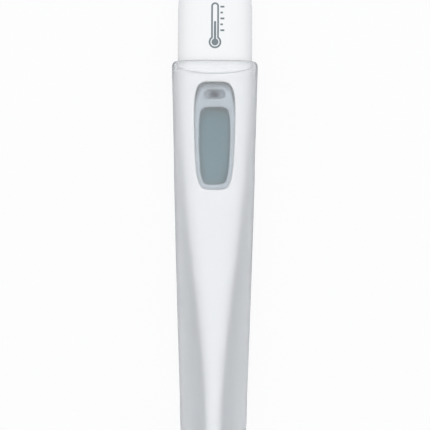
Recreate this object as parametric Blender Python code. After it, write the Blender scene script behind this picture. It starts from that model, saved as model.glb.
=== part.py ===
"""Pencil-type digital thermometer stored tip first in its slip-on case.

It lies on its back: X across, Y along the length with the probe tip towards -Y, Z up through the display.
The origin is on the resting surface, under the middle of the whole length.
"""

import math

import bmesh
import bpy
from mathutils import Matrix, Vector

MM = 0.001

# Thermometer, driving sizes
THERMOMETER_LENGTH = 132.5 * MM
BODY_WIDTH = 19.2 * MM
BODY_DEPTH = 10.0 * MM
BODY_SQUARENESS = 2.8  # superellipse exponent of the body's section
BODY_WALL = 1.0 * MM
FRONT_WALL = 1.4 * MM  # wall under the display panel
SHAFT_RADIUS = 1.95 * MM
SHAFT_LENGTH = 13.0 * MM  # straight probe, tip included
STRAIGHT_BODY = 22.6 * MM  # full-width body at the rear
WAIST_LENGTH = 23.9 * MM  # from there the sides start to draw in
WAIST_DROP = 0.85 * MM  # half-width lost over that length
TAPER_POWER = 1.8
DEPTH_TAPER_START = 59.6 * MM  # from the rear end
REAR_ROUND_WIDE = 12.6 * MM  # length of the rear end's rounding, seen from the front
REAR_ROUND_DEEP = 6.0 * MM  # and seen from the side
REAR_SQUARENESS = 2.8

# Storage case
CASE_WALL = 1.1 * MM
CASE_END_WALL = 1.2 * MM
CASE_SIDE_GAP = 0.45 * MM
CASE_FACE_GAP = 0.3 * MM
CASE_TIP_GAP = 1.6 * MM
CASE_LAND_SINK = 0.25 * MM  # depth of the flat land cut on the back
REAR_EXPOSED = 23.9 * MM  # length of thermometer that stands out of the mouth
LIP_ROUND_LENGTH = 1.4 * MM
LIP_ROUND_DEPTH = 0.85 * MM
CASE_END_WIDTH = 17.4 * MM
CASE_END_LOSS = 0.7 * MM  # half-thickness the case loses towards its end
CASE_BULGE = 0.15 * MM
CASE_ROUND_WIDE = 24.6 * MM
CASE_ROUND_DEEP = 9.0 * MM
CASE_END_SQUARENESS = 2.5

# Battery cover seam
SEAM_SETBACK = 27.25 * MM  # rear end to the seam, on the middle line
SEAM_RISE = 1.9 * MM  # how far the seam climbs at the sides
SEAM_GAP = 0.1 * MM
SEAM_BEVEL = 0.85 * MM
SEAM_BEVEL_DEPTH = 0.15 * MM
COVER_WALL = 1.0 * MM
NECK_LENGTH = 4.6 * MM
NECK_WALL = 0.8 * MM
NECK_GAP = 0.25 * MM

# Display panel
PANEL_LENGTH = 27.2 * MM
PANEL_WIDTH = 9.95 * MM
PANEL_SETBACK = 29.55 * MM  # rear end to the panel's rear edge
PANEL_SQUARENESS = 5.0
PANEL_GAP = 0.15 * MM
PANEL_RECESS = 0.2 * MM
PANEL_SINK = 1.05 * MM  # underside of the panel, below the body's front
PANEL_LIFT = 0.1 * MM
VIEW_LENGTH = 19.8 * MM
VIEW_WIDTH = 7.85 * MM
VIEW_SETBACK = 35.8 * MM
VIEW_SKIRT = 0.7 * MM
SKIRT_GAP = 0.25 * MM
WINDOW_GAP = 0.12 * MM
WINDOW_RECESS = 0.35 * MM
WINDOW_THICKNESS = 1.2 * MM

# Power button
BUTTON_WIDTH = 5.0 * MM
BUTTON_HEIGHT = 2.0 * MM
BUTTON_SETBACK = 32.6 * MM
BUTTON_GAP = 0.15 * MM
BUTTON_RECESS = 0.45 * MM
BUTTON_FLANGE = 0.5 * MM
BUTTON_FLANGE_THICKNESS = 0.5 * MM
BUTTON_STEM_RADIUS = 0.85 * MM
BUTTON_TRAVEL = 0.35 * MM
BUTTON_DISH_DEPTH = 0.25 * MM

# Display module, circuit board and inner frame
LCD_OVERHANG = 0.9 * MM  # display glass past the view at each end
LCD_WIDTH = 8.8 * MM
LCD_GLASS = 0.8 * MM
FILM = 0.15 * MM
LCD_TOP = 2.8 * MM  # top of the display stack, above the axis
STACK_GAP = 0.05 * MM
LCD_BACKING_DROP = 0.4 * MM
HOLDER_WALL = 0.5 * MM
HOLDER_GAP = 0.12 * MM
STRIP_WIDTH = 1.2 * MM
BOARD_TOP = -0.35 * MM
BOARD_THICKNESS = 0.8 * MM
BOARD_WIDTH = 9.6 * MM
BOARD_END_MARGIN = 3.4 * MM
DOME_RADIUS = 1.5 * MM
DOME_HEIGHT = 0.5 * MM
DOME_SHEET = 0.15 * MM
FRAME_WIDTH = 11.6 * MM
FRAME_FLOOR = 0.6 * MM
FRAME_SHELF = 0.3 * MM
FIT_GAP = 0.2 * MM
TOUCH_GAP = 0.1 * MM

# Battery and its contacts
CELL_RADIUS = 3.95 * MM
CELL_HEIGHT = 3.6 * MM
CELL_STEP = 0.35 * MM
CELL_SETBACK = 13.5 * MM
CELL_GAP = 0.3 * MM
CONTACT_SHEET = 0.2 * MM
CONTACT_WIDTH = 2.6 * MM

# Sounder
SOUNDER_RADIUS = 5.0 * MM
SOUNDER_PLATE = 0.2 * MM
CERAMIC_RADIUS = 3.0 * MM
CERAMIC_SHEET = 0.2 * MM
SOUNDER_SETBACK = 38.0 * MM
SOUNDER_LIFT = 0.6 * MM  # above the lowest line of the cavity, clear of its curved sides
SPRING_RADIUS = 0.55 * MM
SPRING_WIRE = 0.14 * MM
SPRING_TURNS = 3
SPRING_SPREAD = 3.85 * MM

# Probe
TIP_LENGTH = 11.0 * MM
TIP_RADIUS = 1.75 * MM
TIP_SHEET = 0.2 * MM
SPIGOT_LENGTH = 3.0 * MM
SPIGOT_GAP = 0.25 * MM
LEAD_BORE = 0.85 * MM
CAVITY_START = 30.0 * MM  # from the tip, where the lead bore opens into the body
THERMISTOR_RADIUS = 0.55 * MM
THERMISTOR_LENGTH = 1.9 * MM
LEAD_RADIUS = 0.12 * MM
LEAD_SPREAD = 0.35 * MM
LEAD_CLEARANCE = 0.35 * MM
LEAD_PAD_X = 2.0 * MM
LEAD_PAD_INSET = 1.4 * MM
POTTING_LENGTH = 2.6 * MM

RING_POINTS = 32

# Levels and places that follow from the sizes above
WHOLE_LENGTH = THERMOMETER_LENGTH + CASE_TIP_GAP + CASE_END_WALL
REAR_Y = WHOLE_LENGTH / 2
CASE_END_Y = -REAR_Y
TIP_Y = REAR_Y - THERMOMETER_LENGTH
MOUTH_Y = REAR_Y - REAR_EXPOSED
CASE_HALF_DEPTH = BODY_DEPTH / 2 + CASE_FACE_GAP + CASE_WALL
AXIS_Z = CASE_HALF_DEPTH - CASE_LAND_SINK
SEAM_Y = REAR_Y - SEAM_SETBACK
SHAFT_Y = TIP_Y + SHAFT_LENGTH
WAIST_Y = REAR_Y - STRAIGHT_BODY - WAIST_LENGTH
PANEL_Y = REAR_Y - PANEL_SETBACK - PANEL_LENGTH / 2
VIEW_Y = REAR_Y - VIEW_SETBACK - VIEW_LENGTH / 2
LCD_LENGTH = VIEW_LENGTH + 2 * LCD_OVERHANG
BUTTON_Y = REAR_Y - BUTTON_SETBACK
CELL_Y = REAR_Y - CELL_SETBACK
SOUNDER_Y = REAR_Y - SOUNDER_SETBACK
NECK_END_Y = SEAM_Y + NECK_LENGTH
BOARD_FRONT_Y = VIEW_Y - LCD_LENGTH / 2 - BOARD_END_MARGIN
BOARD_REAR_Y = NECK_END_Y + FIT_GAP
LEAD_PAD_Y = BOARD_FRONT_Y + LEAD_PAD_INSET
BOARD_TOP_Z = AXIS_Z + BOARD_TOP
BOARD_UNDER_Z = BOARD_TOP_Z - BOARD_THICKNESS
LCD_TOP_Z = AXIS_Z + LCD_TOP
PANEL_FLOOR_Z = AXIS_Z + BODY_DEPTH / 2 - PANEL_SINK


# ---------- helpers ----------


def clear_scene():
    for obj in list(bpy.data.objects):
        bpy.data.objects.remove(obj, do_unlink=True)


def finish(name, colour, roughness, metallic=0.0, alpha=1.0):
    made = bpy.data.materials.new(name)
    made.use_nodes = True
    shader = made.node_tree.nodes["Principled BSDF"]
    shader.inputs["Base Color"].default_value = (*colour, 1.0)
    shader.inputs["Roughness"].default_value = roughness
    shader.inputs["Metallic"].default_value = metallic
    shader.inputs["Alpha"].default_value = alpha
    made.diffuse_color = (*colour, alpha)
    return made


def solid_object(name, mesh, material, place=(0.0, 0.0, 0.0), parent=None, smooth=35.0):
    """The bmesh becomes an object, shaded smooth except across edges sharper than the given angle."""
    bmesh.ops.recalc_face_normals(mesh, faces=mesh.faces)
    data = bpy.data.meshes.new(name)
    mesh.to_mesh(data)
    mesh.free()
    data.materials.append(material)
    data.shade_smooth()
    data.set_sharp_from_angle(angle=math.radians(smooth))
    obj = bpy.data.objects.new(name, data)
    bpy.context.scene.collection.objects.link(obj)
    obj.location = place
    obj.parent = parent
    return obj


def as_cutter(obj):
    obj.hide_render = True
    obj.display_type = "WIRE"
    return obj


def combine(obj, other, operation="DIFFERENCE"):
    made = obj.modifiers.new(f"{operation.lower()}_{other.name}", "BOOLEAN")
    made.operation = operation
    made.solver = "EXACT"
    made.object = other


def anchor(name, place, parent=None):
    """An empty on a joint's axis, which carries the pieces that move with it."""
    empty = bpy.data.objects.new(name, None)
    bpy.context.scene.collection.objects.link(empty)
    empty.location = place
    empty.parent = parent
    return empty


def superellipse(half_x, half_y, power, count=RING_POINTS):
    points = []
    for step in range(count):
        angle = 2 * math.pi * step / count
        across = math.copysign(abs(math.cos(angle)) ** (2 / power), math.cos(angle))
        along = math.copysign(abs(math.sin(angle)) ** (2 / power), math.sin(angle))
        points.append((half_x * across, half_y * along))
    return points


def section_ring(y, half_width, half_depth, power, centre_z, rise=0.0):
    """Points of one cross-section. With rise, the ring climbs towards +Y at its sides, as the seam does."""
    ring = []
    for x, z in superellipse(half_width, half_depth, power):
        climb = rise * abs(x / half_width) ** 3
        ring.append(Vector((x, y + climb, centre_z + z)))
    return ring


def loft(rings, closed_loop=False):
    """Skins the rings in order. Ends are capped, or the last ring joins the first one."""
    mesh = bmesh.new()
    rows = [[mesh.verts.new(point) for point in ring] for ring in rings]
    pairs = list(zip(rows, rows[1:]))
    if closed_loop:
        pairs.append((rows[-1], rows[0]))
    for first, second in pairs:
        for i in range(len(first)):
            j = (i + 1) % len(first)
            mesh.faces.new((first[i], first[j], second[j], second[i]))
    if not closed_loop:
        mesh.faces.new(rows[0])
        mesh.faces.new(rows[-1])
    return mesh


def prism(outline, low_z, high_z):
    """A vertical prism on an outline in X and Y."""
    mesh = bmesh.new()
    low = [mesh.verts.new((x, y, low_z)) for x, y in outline]
    high = [mesh.verts.new((x, y, high_z)) for x, y in outline]
    mesh.faces.new(low)
    mesh.faces.new(high)
    for i in range(len(low)):
        j = (i + 1) % len(low)
        mesh.faces.new((low[i], low[j], high[j], high[i]))
    return mesh


def block(low, high):
    """A box between two corners."""
    outline = ((low[0], low[1]), (high[0], low[1]), (high[0], high[1]), (low[0], high[1]))
    return prism(outline, low[2], high[2])


def turned(profile, steps=24):
    """A solid turned about Z. The profile is (radius, height) pairs from the axis, out and back to it."""
    mesh = bmesh.new()
    rows = []
    for step in range(steps):
        angle = 2 * math.pi * step / steps
        row = [
            mesh.verts.new((radius * math.cos(angle), radius * math.sin(angle), height))
            for radius, height in profile
        ]
        rows.append(row)
    for step in range(steps):
        here, there = rows[step], rows[(step + 1) % steps]
        for i in range(len(profile) - 1):
            mesh.faces.new((here[i], there[i], there[i + 1], here[i + 1]))
    bmesh.ops.remove_doubles(mesh, verts=mesh.verts, dist=0.001 * MM)
    return mesh


def turned_along_y(profile, steps=24):
    """The same, turned about Y: heights run along +Y."""
    mesh = turned(profile, steps)
    bmesh.ops.rotate(mesh, verts=mesh.verts, matrix=Matrix.Rotation(math.radians(-90), 3, "X"))
    return mesh


def disc(radius, thickness, steps=24):
    return turned(((0, 0), (radius, 0), (radius, thickness), (0, thickness)), steps)


def bent_strip(profile, sheet, width):
    """Sheet metal bent along a path of (y, z) points and as wide as given along X."""
    upper = []
    lower = []
    for i, (y, z) in enumerate(profile):
        before = Vector(profile[max(i - 1, 0)])
        after = Vector(profile[min(i + 1, len(profile) - 1)])
        run = (after - before).normalized()
        normal = Vector((-run.y, run.x)) * sheet / 2
        upper.append((y + normal.x, z + normal.y))
        lower.append((y - normal.x, z - normal.y))
    outline = upper + lower[::-1]
    mesh = bmesh.new()
    left = [mesh.verts.new((-width / 2, y, z)) for y, z in outline]
    right = [mesh.verts.new((width / 2, y, z)) for y, z in outline]
    mesh.faces.new(left)
    mesh.faces.new(right)
    for i in range(len(left)):
        j = (i + 1) % len(left)
        mesh.faces.new((left[i], left[j], right[j], right[i]))
    return mesh


def wire(name, points, radius, material, parent, sides=2):
    curve = bpy.data.curves.new(name, "CURVE")
    curve.dimensions = "3D"
    curve.bevel_depth = radius
    curve.bevel_resolution = sides
    curve.use_fill_caps = True
    spline = curve.splines.new("POLY")
    spline.points.add(len(points) - 1)
    for point, place in zip(spline.points, points):
        point.co = (*place, 1.0)
    curve.materials.append(material)
    obj = bpy.data.objects.new(name, curve)
    bpy.context.scene.collection.objects.link(obj)
    obj.parent = parent
    return obj


# ---------- shape of the thermometer's body and of the case ----------


def rounding(reach, length, power):
    """What is left of a half-size at this reach into a rounding of the given length."""
    share = min(max(reach / length, 0.0), 1.0)
    return (1 - share**power) ** (1 / power)


def body_section(y, inset=0.0, front_inset=0.0):
    """Half-width, half-depth, exponent and centre height of the body at y.

    The inset shrinks it all round. The front inset lowers the display side by that much more.
    """
    full_width = BODY_WIDTH / 2
    full_depth = BODY_DEPTH / 2
    if y >= WAIST_Y:
        share = max(REAR_Y - STRAIGHT_BODY - y, 0.0) / WAIST_LENGTH
        half_width = full_width - WAIST_DROP * share**2
    else:
        share = min((WAIST_Y - y) / (WAIST_Y - SHAFT_Y), 1.0)
        left = (1 - share) ** TAPER_POWER * (1 + share)
        half_width = SHAFT_RADIUS + (full_width - WAIST_DROP - SHAFT_RADIUS) * left
    depth_start = REAR_Y - DEPTH_TAPER_START
    share = min(max(depth_start - y, 0.0) / (depth_start - SHAFT_Y), 1.0)
    left = (1 - share**2) ** 2
    half_depth = SHAFT_RADIUS + (full_depth - SHAFT_RADIUS) * left
    power = 2.0 + (BODY_SQUARENESS - 2.0) * left
    end = REAR_Y - inset
    half_width = (half_width - inset) * rounding(
        y - end + REAR_ROUND_WIDE, REAR_ROUND_WIDE, REAR_SQUARENESS
    )
    half_depth = (half_depth - inset) * rounding(
        y - end + REAR_ROUND_DEEP, REAR_ROUND_DEEP, REAR_SQUARENESS
    )
    lowered = front_inset / 2
    return half_width, half_depth - lowered, power, AXIS_Z - lowered


def body_ring(y, inset=0.0, front_inset=0.0, rise=0.0):
    half_width, half_depth, power, centre_z = body_section(y, inset, front_inset)
    return section_ring(y, half_width, half_depth, power, centre_z, rise)


def case_section(y, inset=0.0):
    mouth_half = BODY_WIDTH / 2 + CASE_SIDE_GAP + CASE_WALL
    straight_end = CASE_END_Y + CASE_ROUND_WIDE
    share = min((MOUTH_Y - y) / (MOUTH_Y - straight_end), 1.0)
    half_width = mouth_half + (CASE_END_WIDTH / 2 - mouth_half) * share
    half_width += CASE_BULGE * 4 * share * (1 - share)
    depth_start = REAR_Y - DEPTH_TAPER_START
    share = min(max(depth_start - y, 0.0) / (depth_start - straight_end), 1.0)
    half_depth = CASE_HALF_DEPTH - CASE_END_LOSS * share
    centre_z = half_depth - CASE_LAND_SINK
    end = CASE_END_Y + (CASE_END_WALL if inset else 0.0)
    half_width = (half_width - inset) * rounding(
        end + CASE_ROUND_WIDE - y, CASE_ROUND_WIDE, CASE_END_SQUARENESS
    )
    half_depth = (half_depth - inset) * rounding(
        end + CASE_ROUND_DEEP - y, CASE_ROUND_DEEP, CASE_END_SQUARENESS
    )
    return half_width, half_depth, BODY_SQUARENESS, centre_z


def case_ring(y, inset=0.0, shrink=0.0):
    half_width, half_depth, power, centre_z = case_section(y, inset)
    return section_ring(y, half_width - shrink, half_depth - shrink, power, centre_z)


def spread(first, last, count):
    """Evenly spaced values with both ends."""
    return [first + (last - first) * step / (count - 1) for step in range(count)]


def rounded_end_places(end, length, count):
    """Places along a rounded end, closer together towards the end."""
    places = []
    for step in range(count):
        angle = math.radians(88) * (step + 1) / count
        places.append(end - math.copysign(length, end) * (1 - math.sin(angle)))
    return places


def panel_outline(centre_y, length, width, grow=0.0, count=40):
    """Squarish oval that is slightly narrower towards the tip, as the panel and the view in it are."""
    outline = []
    for x, y in superellipse(width / 2 + grow, length / 2 + grow, PANEL_SQUARENESS, count):
        down = -y / (length / 2 + grow)
        narrowing = 1 - 0.08 * down - 0.06 * down**2
        outline.append((x * narrowing, centre_y + y))
    return outline


def pill_outline(centre_y, width, height, grow=0.0, arc_steps=8):
    radius = height / 2 + grow
    middle = width / 2 - height / 2
    outline = []
    for side in (1, -1):
        for step in range(arc_steps + 1):
            angle = math.radians(-90 + 180 * step / arc_steps)
            x = side * (middle + radius * math.cos(angle))
            outline.append((x, centre_y + side * radius * math.sin(angle)))
    return outline


# ---------- storage case ----------


def make_storage_case(material):
    straight_end = CASE_END_Y + CASE_ROUND_WIDE
    inner_end = CASE_END_Y + CASE_END_WALL
    rings = []
    for y in reversed(rounded_end_places(CASE_END_Y, CASE_ROUND_WIDE, 8)):
        rings.append(case_ring(y))
    for y in spread(straight_end, MOUTH_Y - LIP_ROUND_LENGTH, 8):
        rings.append(case_ring(y))
    for angle in (30, 60, 80):
        along = LIP_ROUND_LENGTH * math.sin(math.radians(angle))
        inward = LIP_ROUND_DEPTH * (1 - math.cos(math.radians(angle)))
        rings.append(case_ring(MOUTH_Y - LIP_ROUND_LENGTH + along, shrink=inward))
    rings.append(case_ring(MOUTH_Y, inset=CASE_WALL))
    for y in spread(MOUTH_Y, inner_end + CASE_ROUND_WIDE, 8)[1:]:
        rings.append(case_ring(y, inset=CASE_WALL))
    for y in rounded_end_places(inner_end, CASE_ROUND_WIDE, 6):
        rings.append(case_ring(y, inset=CASE_WALL))
    mesh = loft(rings)
    cut = bmesh.ops.bisect_plane(
        mesh,
        geom=mesh.verts[:] + mesh.edges[:] + mesh.faces[:],
        plane_co=(0, 0, 0),
        plane_no=(0, 0, -1),
        clear_outer=True,
    )
    rim = [item for item in cut["geom_cut"] if isinstance(item, bmesh.types.BMEdge)]
    bmesh.ops.contextual_create(mesh, geom=rim)
    return solid_object("storage_case", mesh, material, smooth=50.0)


# ---------- thermometer shells ----------


def make_main_housing(material, parent):
    bevel_start = SEAM_Y - SEAM_GAP - SEAM_BEVEL
    shoulder = SEAM_Y - SEAM_GAP
    neck_inset = COVER_WALL + NECK_GAP
    bore_inset = neck_inset + NECK_WALL
    shaft_front = TIP_Y + TIP_LENGTH + TOUCH_GAP
    spigot_radius = TIP_RADIUS - TIP_SHEET - SPIGOT_GAP
    cavity_front = TIP_Y + CAVITY_START
    rings = [
        section_ring(shaft_front - SPIGOT_LENGTH, spigot_radius, spigot_radius, 2.0, AXIS_Z),
        section_ring(shaft_front, spigot_radius, spigot_radius, 2.0, AXIS_Z),
    ]
    rings.append(body_ring(shaft_front))
    for y in spread(SHAFT_Y, WAIST_Y, 11):
        rings.append(body_ring(y))
    for y in spread(WAIST_Y, bevel_start - SEAM_RISE, 4)[1:]:
        rings.append(body_ring(y))
    rings.append(body_ring(bevel_start, rise=SEAM_RISE))
    rings.append(body_ring(shoulder, inset=SEAM_BEVEL_DEPTH, rise=SEAM_RISE))
    rings.append(body_ring(shoulder, inset=neck_inset, rise=SEAM_RISE))
    rings.append(body_ring(NECK_END_Y, inset=neck_inset))
    rings.append(body_ring(NECK_END_Y, inset=bore_inset))
    rings.append(body_ring(SEAM_Y, inset=bore_inset))
    for y in spread(SEAM_Y - NECK_WALL, cavity_front, 12):
        rings.append(body_ring(y, inset=BODY_WALL, front_inset=FRONT_WALL - BODY_WALL))
    rings.append(section_ring(cavity_front, LEAD_BORE, LEAD_BORE, 2.0, AXIS_Z))
    rings.append(section_ring(shaft_front - SPIGOT_LENGTH, LEAD_BORE, LEAD_BORE, 2.0, AXIS_Z))
    housing = solid_object(
        "main_housing", loft(rings, closed_loop=True), material, parent=parent, smooth=50.0
    )
    above = AXIS_Z + BODY_DEPTH
    pocket = panel_outline(PANEL_Y, PANEL_LENGTH, PANEL_WIDTH, grow=PANEL_GAP)
    pocket_floor = PANEL_FLOOR_Z - PANEL_LIFT
    cutters = (
        ("panel_pocket", pocket, pocket_floor),
        (
            "view_opening",
            panel_outline(VIEW_Y, VIEW_LENGTH, VIEW_WIDTH, grow=VIEW_SKIRT + SKIRT_GAP),
            AXIS_Z,
        ),
        ("button_opening", pill_outline(BUTTON_Y, BUTTON_WIDTH, BUTTON_HEIGHT, BUTTON_GAP), AXIS_Z),
    )
    for name, outline, floor in cutters:
        cutter = solid_object(name, prism(outline, floor, above), material)
        combine(housing, as_cutter(cutter))
    return housing


def make_battery_cover(material, pivot):
    straight_end = REAR_Y - REAR_ROUND_WIDE
    inner_end = REAR_Y - COVER_WALL
    rings = [body_ring(SEAM_Y, inset=COVER_WALL, rise=SEAM_RISE)]
    rings.append(body_ring(SEAM_Y, rise=SEAM_RISE))
    for y in spread(SEAM_Y + 2 * SEAM_RISE, straight_end, 4):
        rings.append(body_ring(y))
    for y in rounded_end_places(REAR_Y, REAR_ROUND_WIDE, 8):
        rings.append(body_ring(y))
    inner = []
    for y in spread(SEAM_Y + 2 * SEAM_RISE, inner_end - REAR_ROUND_WIDE, 3):
        inner.append(body_ring(y, inset=COVER_WALL))
    for y in rounded_end_places(inner_end, REAR_ROUND_WIDE, 5):
        inner.append(body_ring(y, inset=COVER_WALL))
    mesh = loft(inner[::-1] + rings)
    bmesh.ops.translate(mesh, verts=mesh.verts, vec=-pivot.location)
    return solid_object("battery_cover", mesh, material, parent=pivot, smooth=50.0)


def body_core(name, inset, low_y, high_y, material):
    """A closed piece of the body's own shape, shrunk by the inset, which trims the panel's pieces."""
    rings = [body_ring(y, inset=inset) for y in spread(low_y, high_y, 9)]
    return as_cutter(solid_object(name, loft(rings), material))


def make_display_frame(material, parent, core):
    above = AXIS_Z + BODY_DEPTH
    skirt_bottom = LCD_TOP_Z + TOUCH_GAP
    frame = solid_object(
        "display_frame",
        prism(panel_outline(PANEL_Y, PANEL_LENGTH, PANEL_WIDTH), PANEL_FLOOR_Z, above),
        material,
        parent=parent,
    )
    skirt_outline = panel_outline(VIEW_Y, VIEW_LENGTH, VIEW_WIDTH, grow=VIEW_SKIRT)
    skirt = solid_object("skirt", prism(skirt_outline, skirt_bottom, PANEL_FLOOR_Z + FILM), material)
    combine(frame, as_cutter(skirt), "UNION")
    combine(frame, core, "INTERSECT")
    view = panel_outline(VIEW_Y, VIEW_LENGTH, VIEW_WIDTH)
    view_cutter = solid_object("view_cutter", prism(view, AXIS_Z, above), material)
    combine(frame, as_cutter(view_cutter))
    pill = pill_outline(BUTTON_Y, BUTTON_WIDTH, BUTTON_HEIGHT, BUTTON_GAP)
    pill_cutter = solid_object("pill_cutter", prism(pill, AXIS_Z, above), material)
    combine(frame, as_cutter(pill_cutter))
    return frame


def make_display_window(material, parent, core):
    above = AXIS_Z + BODY_DEPTH
    underside = AXIS_Z + BODY_DEPTH / 2 - WINDOW_RECESS - WINDOW_THICKNESS
    outline = panel_outline(VIEW_Y, VIEW_LENGTH, VIEW_WIDTH, grow=-WINDOW_GAP)
    window = solid_object("display_window", prism(outline, underside, above), material, parent=parent)
    combine(window, core, "INTERSECT")
    return window


def make_power_button(material, pivot):
    """Pill-shaped cap with a shallow dish, a flange that keeps it in, and a stem over the switch."""
    top = AXIS_Z + BODY_DEPTH / 2 - PANEL_RECESS - BUTTON_RECESS
    ceiling = AXIS_Z + BODY_DEPTH / 2 - FRONT_WALL
    flange_top = ceiling - FIT_GAP
    flange_low = flange_top - BUTTON_FLANGE_THICKNESS
    stem_low = BOARD_TOP_Z + TOUCH_GAP + DOME_HEIGHT + BUTTON_TRAVEL + TOUCH_GAP
    drop = -pivot.location.z
    cap = solid_object(
        "power_button",
        prism(pill_outline(0.0, BUTTON_WIDTH, BUTTON_HEIGHT), flange_low + drop, top + drop),
        material,
        parent=pivot,
    )
    flange_outline = pill_outline(0.0, BUTTON_WIDTH, BUTTON_HEIGHT, grow=BUTTON_FLANGE)
    flange = solid_object(
        "button_flange", prism(flange_outline, flange_low + drop, flange_top + drop), material,
        parent=pivot,
    )
    combine(cap, as_cutter(flange), "UNION")
    stem_mesh = disc(BUTTON_STEM_RADIUS, flange_top - stem_low, 16)
    stem = solid_object("button_stem", stem_mesh, material, (0, 0, stem_low + drop), pivot)
    combine(cap, as_cutter(stem), "UNION")
    dish_radius = (BUTTON_HEIGHT**2 / 4 + BUTTON_DISH_DEPTH**2) / (2 * BUTTON_DISH_DEPTH)
    dish_mesh = bmesh.new()
    bmesh.ops.create_uvsphere(dish_mesh, u_segments=24, v_segments=16, radius=dish_radius)
    bmesh.ops.scale(dish_mesh, verts=dish_mesh.verts, vec=(BUTTON_WIDTH / BUTTON_HEIGHT, 1, 1))
    dish_z = top + drop + dish_radius - BUTTON_DISH_DEPTH
    dish = solid_object("button_dish", dish_mesh, material, (0, 0, dish_z), pivot)
    combine(cap, as_cutter(dish))
    return cap


# ---------- display module ----------


def make_lcd_stack(materials, parent):
    half_width = LCD_WIDTH / 2
    low_y = VIEW_Y - LCD_LENGTH / 2
    high_y = VIEW_Y + LCD_LENGTH / 2
    glass_top = LCD_TOP_Z - FILM - STACK_GAP
    glass_low = glass_top - LCD_GLASS
    backing_top = glass_low - LCD_BACKING_DROP
    inner_half = half_width - STRIP_WIDTH - 2 * HOLDER_GAP
    layers = (
        ("lcd_polarizer", half_width, LCD_TOP_Z - FILM, LCD_TOP_Z),
        ("lcd_glass", half_width, glass_low, glass_top),
        ("lcd_backing", inner_half, backing_top - FILM, backing_top),
    )
    for name, reach, low_z, high_z in layers:
        mesh = block((-reach, low_y, low_z), (reach, high_y, high_z))
        solid_object(name, mesh, materials[name], parent=parent)
    margin = FILM
    for side, name in ((-1, "zebra_strip_left"), (1, "zebra_strip_right")):
        outer = side * half_width
        inner = side * (half_width - STRIP_WIDTH)
        low = (min(outer, inner), low_y + margin, BOARD_TOP_Z + TOUCH_GAP)
        high = (max(outer, inner), high_y - margin, glass_low - STACK_GAP)
        solid_object(name, block(low, high), materials["zebra_strip"], parent=parent)
    reach = half_width + HOLDER_GAP
    outside = reach + HOLDER_WALL
    low = (-outside, low_y - HOLDER_GAP - HOLDER_WALL, BOARD_TOP_Z + TOUCH_GAP)
    high = (outside, high_y + HOLDER_GAP + HOLDER_WALL, LCD_TOP_Z)
    holder = solid_object("lcd_holder", block(low, high), materials["lcd_holder"], parent=parent)
    hole = block(
        (-reach, low_y - HOLDER_GAP, BOARD_UNDER_Z), (reach, high_y + HOLDER_GAP, LCD_TOP_Z + FILM)
    )
    combine(holder, as_cutter(solid_object("lcd_hole", hole, materials["lcd_holder"])))
    return holder


# ---------- circuit board and what sits on it ----------


def make_board(materials, parent):
    low = (-BOARD_WIDTH / 2, BOARD_FRONT_Y, BOARD_UNDER_Z)
    high = (BOARD_WIDTH / 2, BOARD_REAR_Y, BOARD_TOP_Z)
    board = solid_object("circuit_board", block(low, high), materials["circuit_board"], parent=parent)
    for side in (-1, 1):
        x = side * LEAD_PAD_X
        hole = solid_object(
            f"lead_hole_{side + 1}",
            disc(LEAD_RADIUS + TOUCH_GAP, 3 * BOARD_THICKNESS, 10),
            materials["circuit_board"],
            (x, LEAD_PAD_Y, BOARD_UNDER_Z - BOARD_THICKNESS),
        )
        combine(board, as_cutter(hole))
    dome_profile = [(DOME_RADIUS, 0.0)]
    arc = 6
    for step in range(1, arc + 1):
        angle = math.radians(90 * step / arc)
        dome_profile.append((DOME_RADIUS * math.cos(angle), DOME_HEIGHT * math.sin(angle)))
    for step in range(arc, -1, -1):
        angle = math.radians(90 * step / arc)
        inner_radius = (DOME_RADIUS - DOME_SHEET) * math.cos(angle)
        inner_height = (DOME_HEIGHT - DOME_SHEET) * math.sin(angle)
        dome_profile.append((inner_radius, inner_height))
    dome_profile.append((DOME_RADIUS, 0.0))
    solid_object(
        "switch_dome",
        turned(dome_profile, 20),
        materials["switch_dome"],
        (0, BUTTON_Y, BOARD_TOP_Z + TOUCH_GAP),
        parent,
    )
    blob_profile = [(0.0, 0.0)]
    blob_radius, blob_height = 2.6 * MM, 0.75 * MM
    for step in range(7):
        angle = math.radians(90 * step / 6)
        blob_profile.append((blob_radius * math.cos(angle), -blob_height * math.sin(angle)))
    solid_object(
        "ic_blob",
        turned(blob_profile, 20),
        materials["ic_blob"],
        (0, VIEW_Y - LCD_LENGTH / 4, BOARD_UNDER_Z - TOUCH_GAP),
        parent,
    )
    chips = (
        ("reference_resistor", -3.0 * MM, 1.6 * MM, 0.45 * MM),
        ("filter_capacitor", 3.0 * MM, 2.0 * MM, 0.8 * MM),
    )
    for name, x, length, height in chips:
        top = BOARD_UNDER_Z - TOUCH_GAP
        middle = VIEW_Y
        mesh = block((x - 0.5 * MM, middle, top - height), (x + 0.5 * MM, middle + length, top))
        chip = solid_object(name, mesh, materials[name], parent=parent)
        bevel = chip.modifiers.new("edges", "BEVEL")
        bevel.width = 0.08 * MM
        bevel.segments = 1
    return board


# ---------- inner frame ----------


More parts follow.
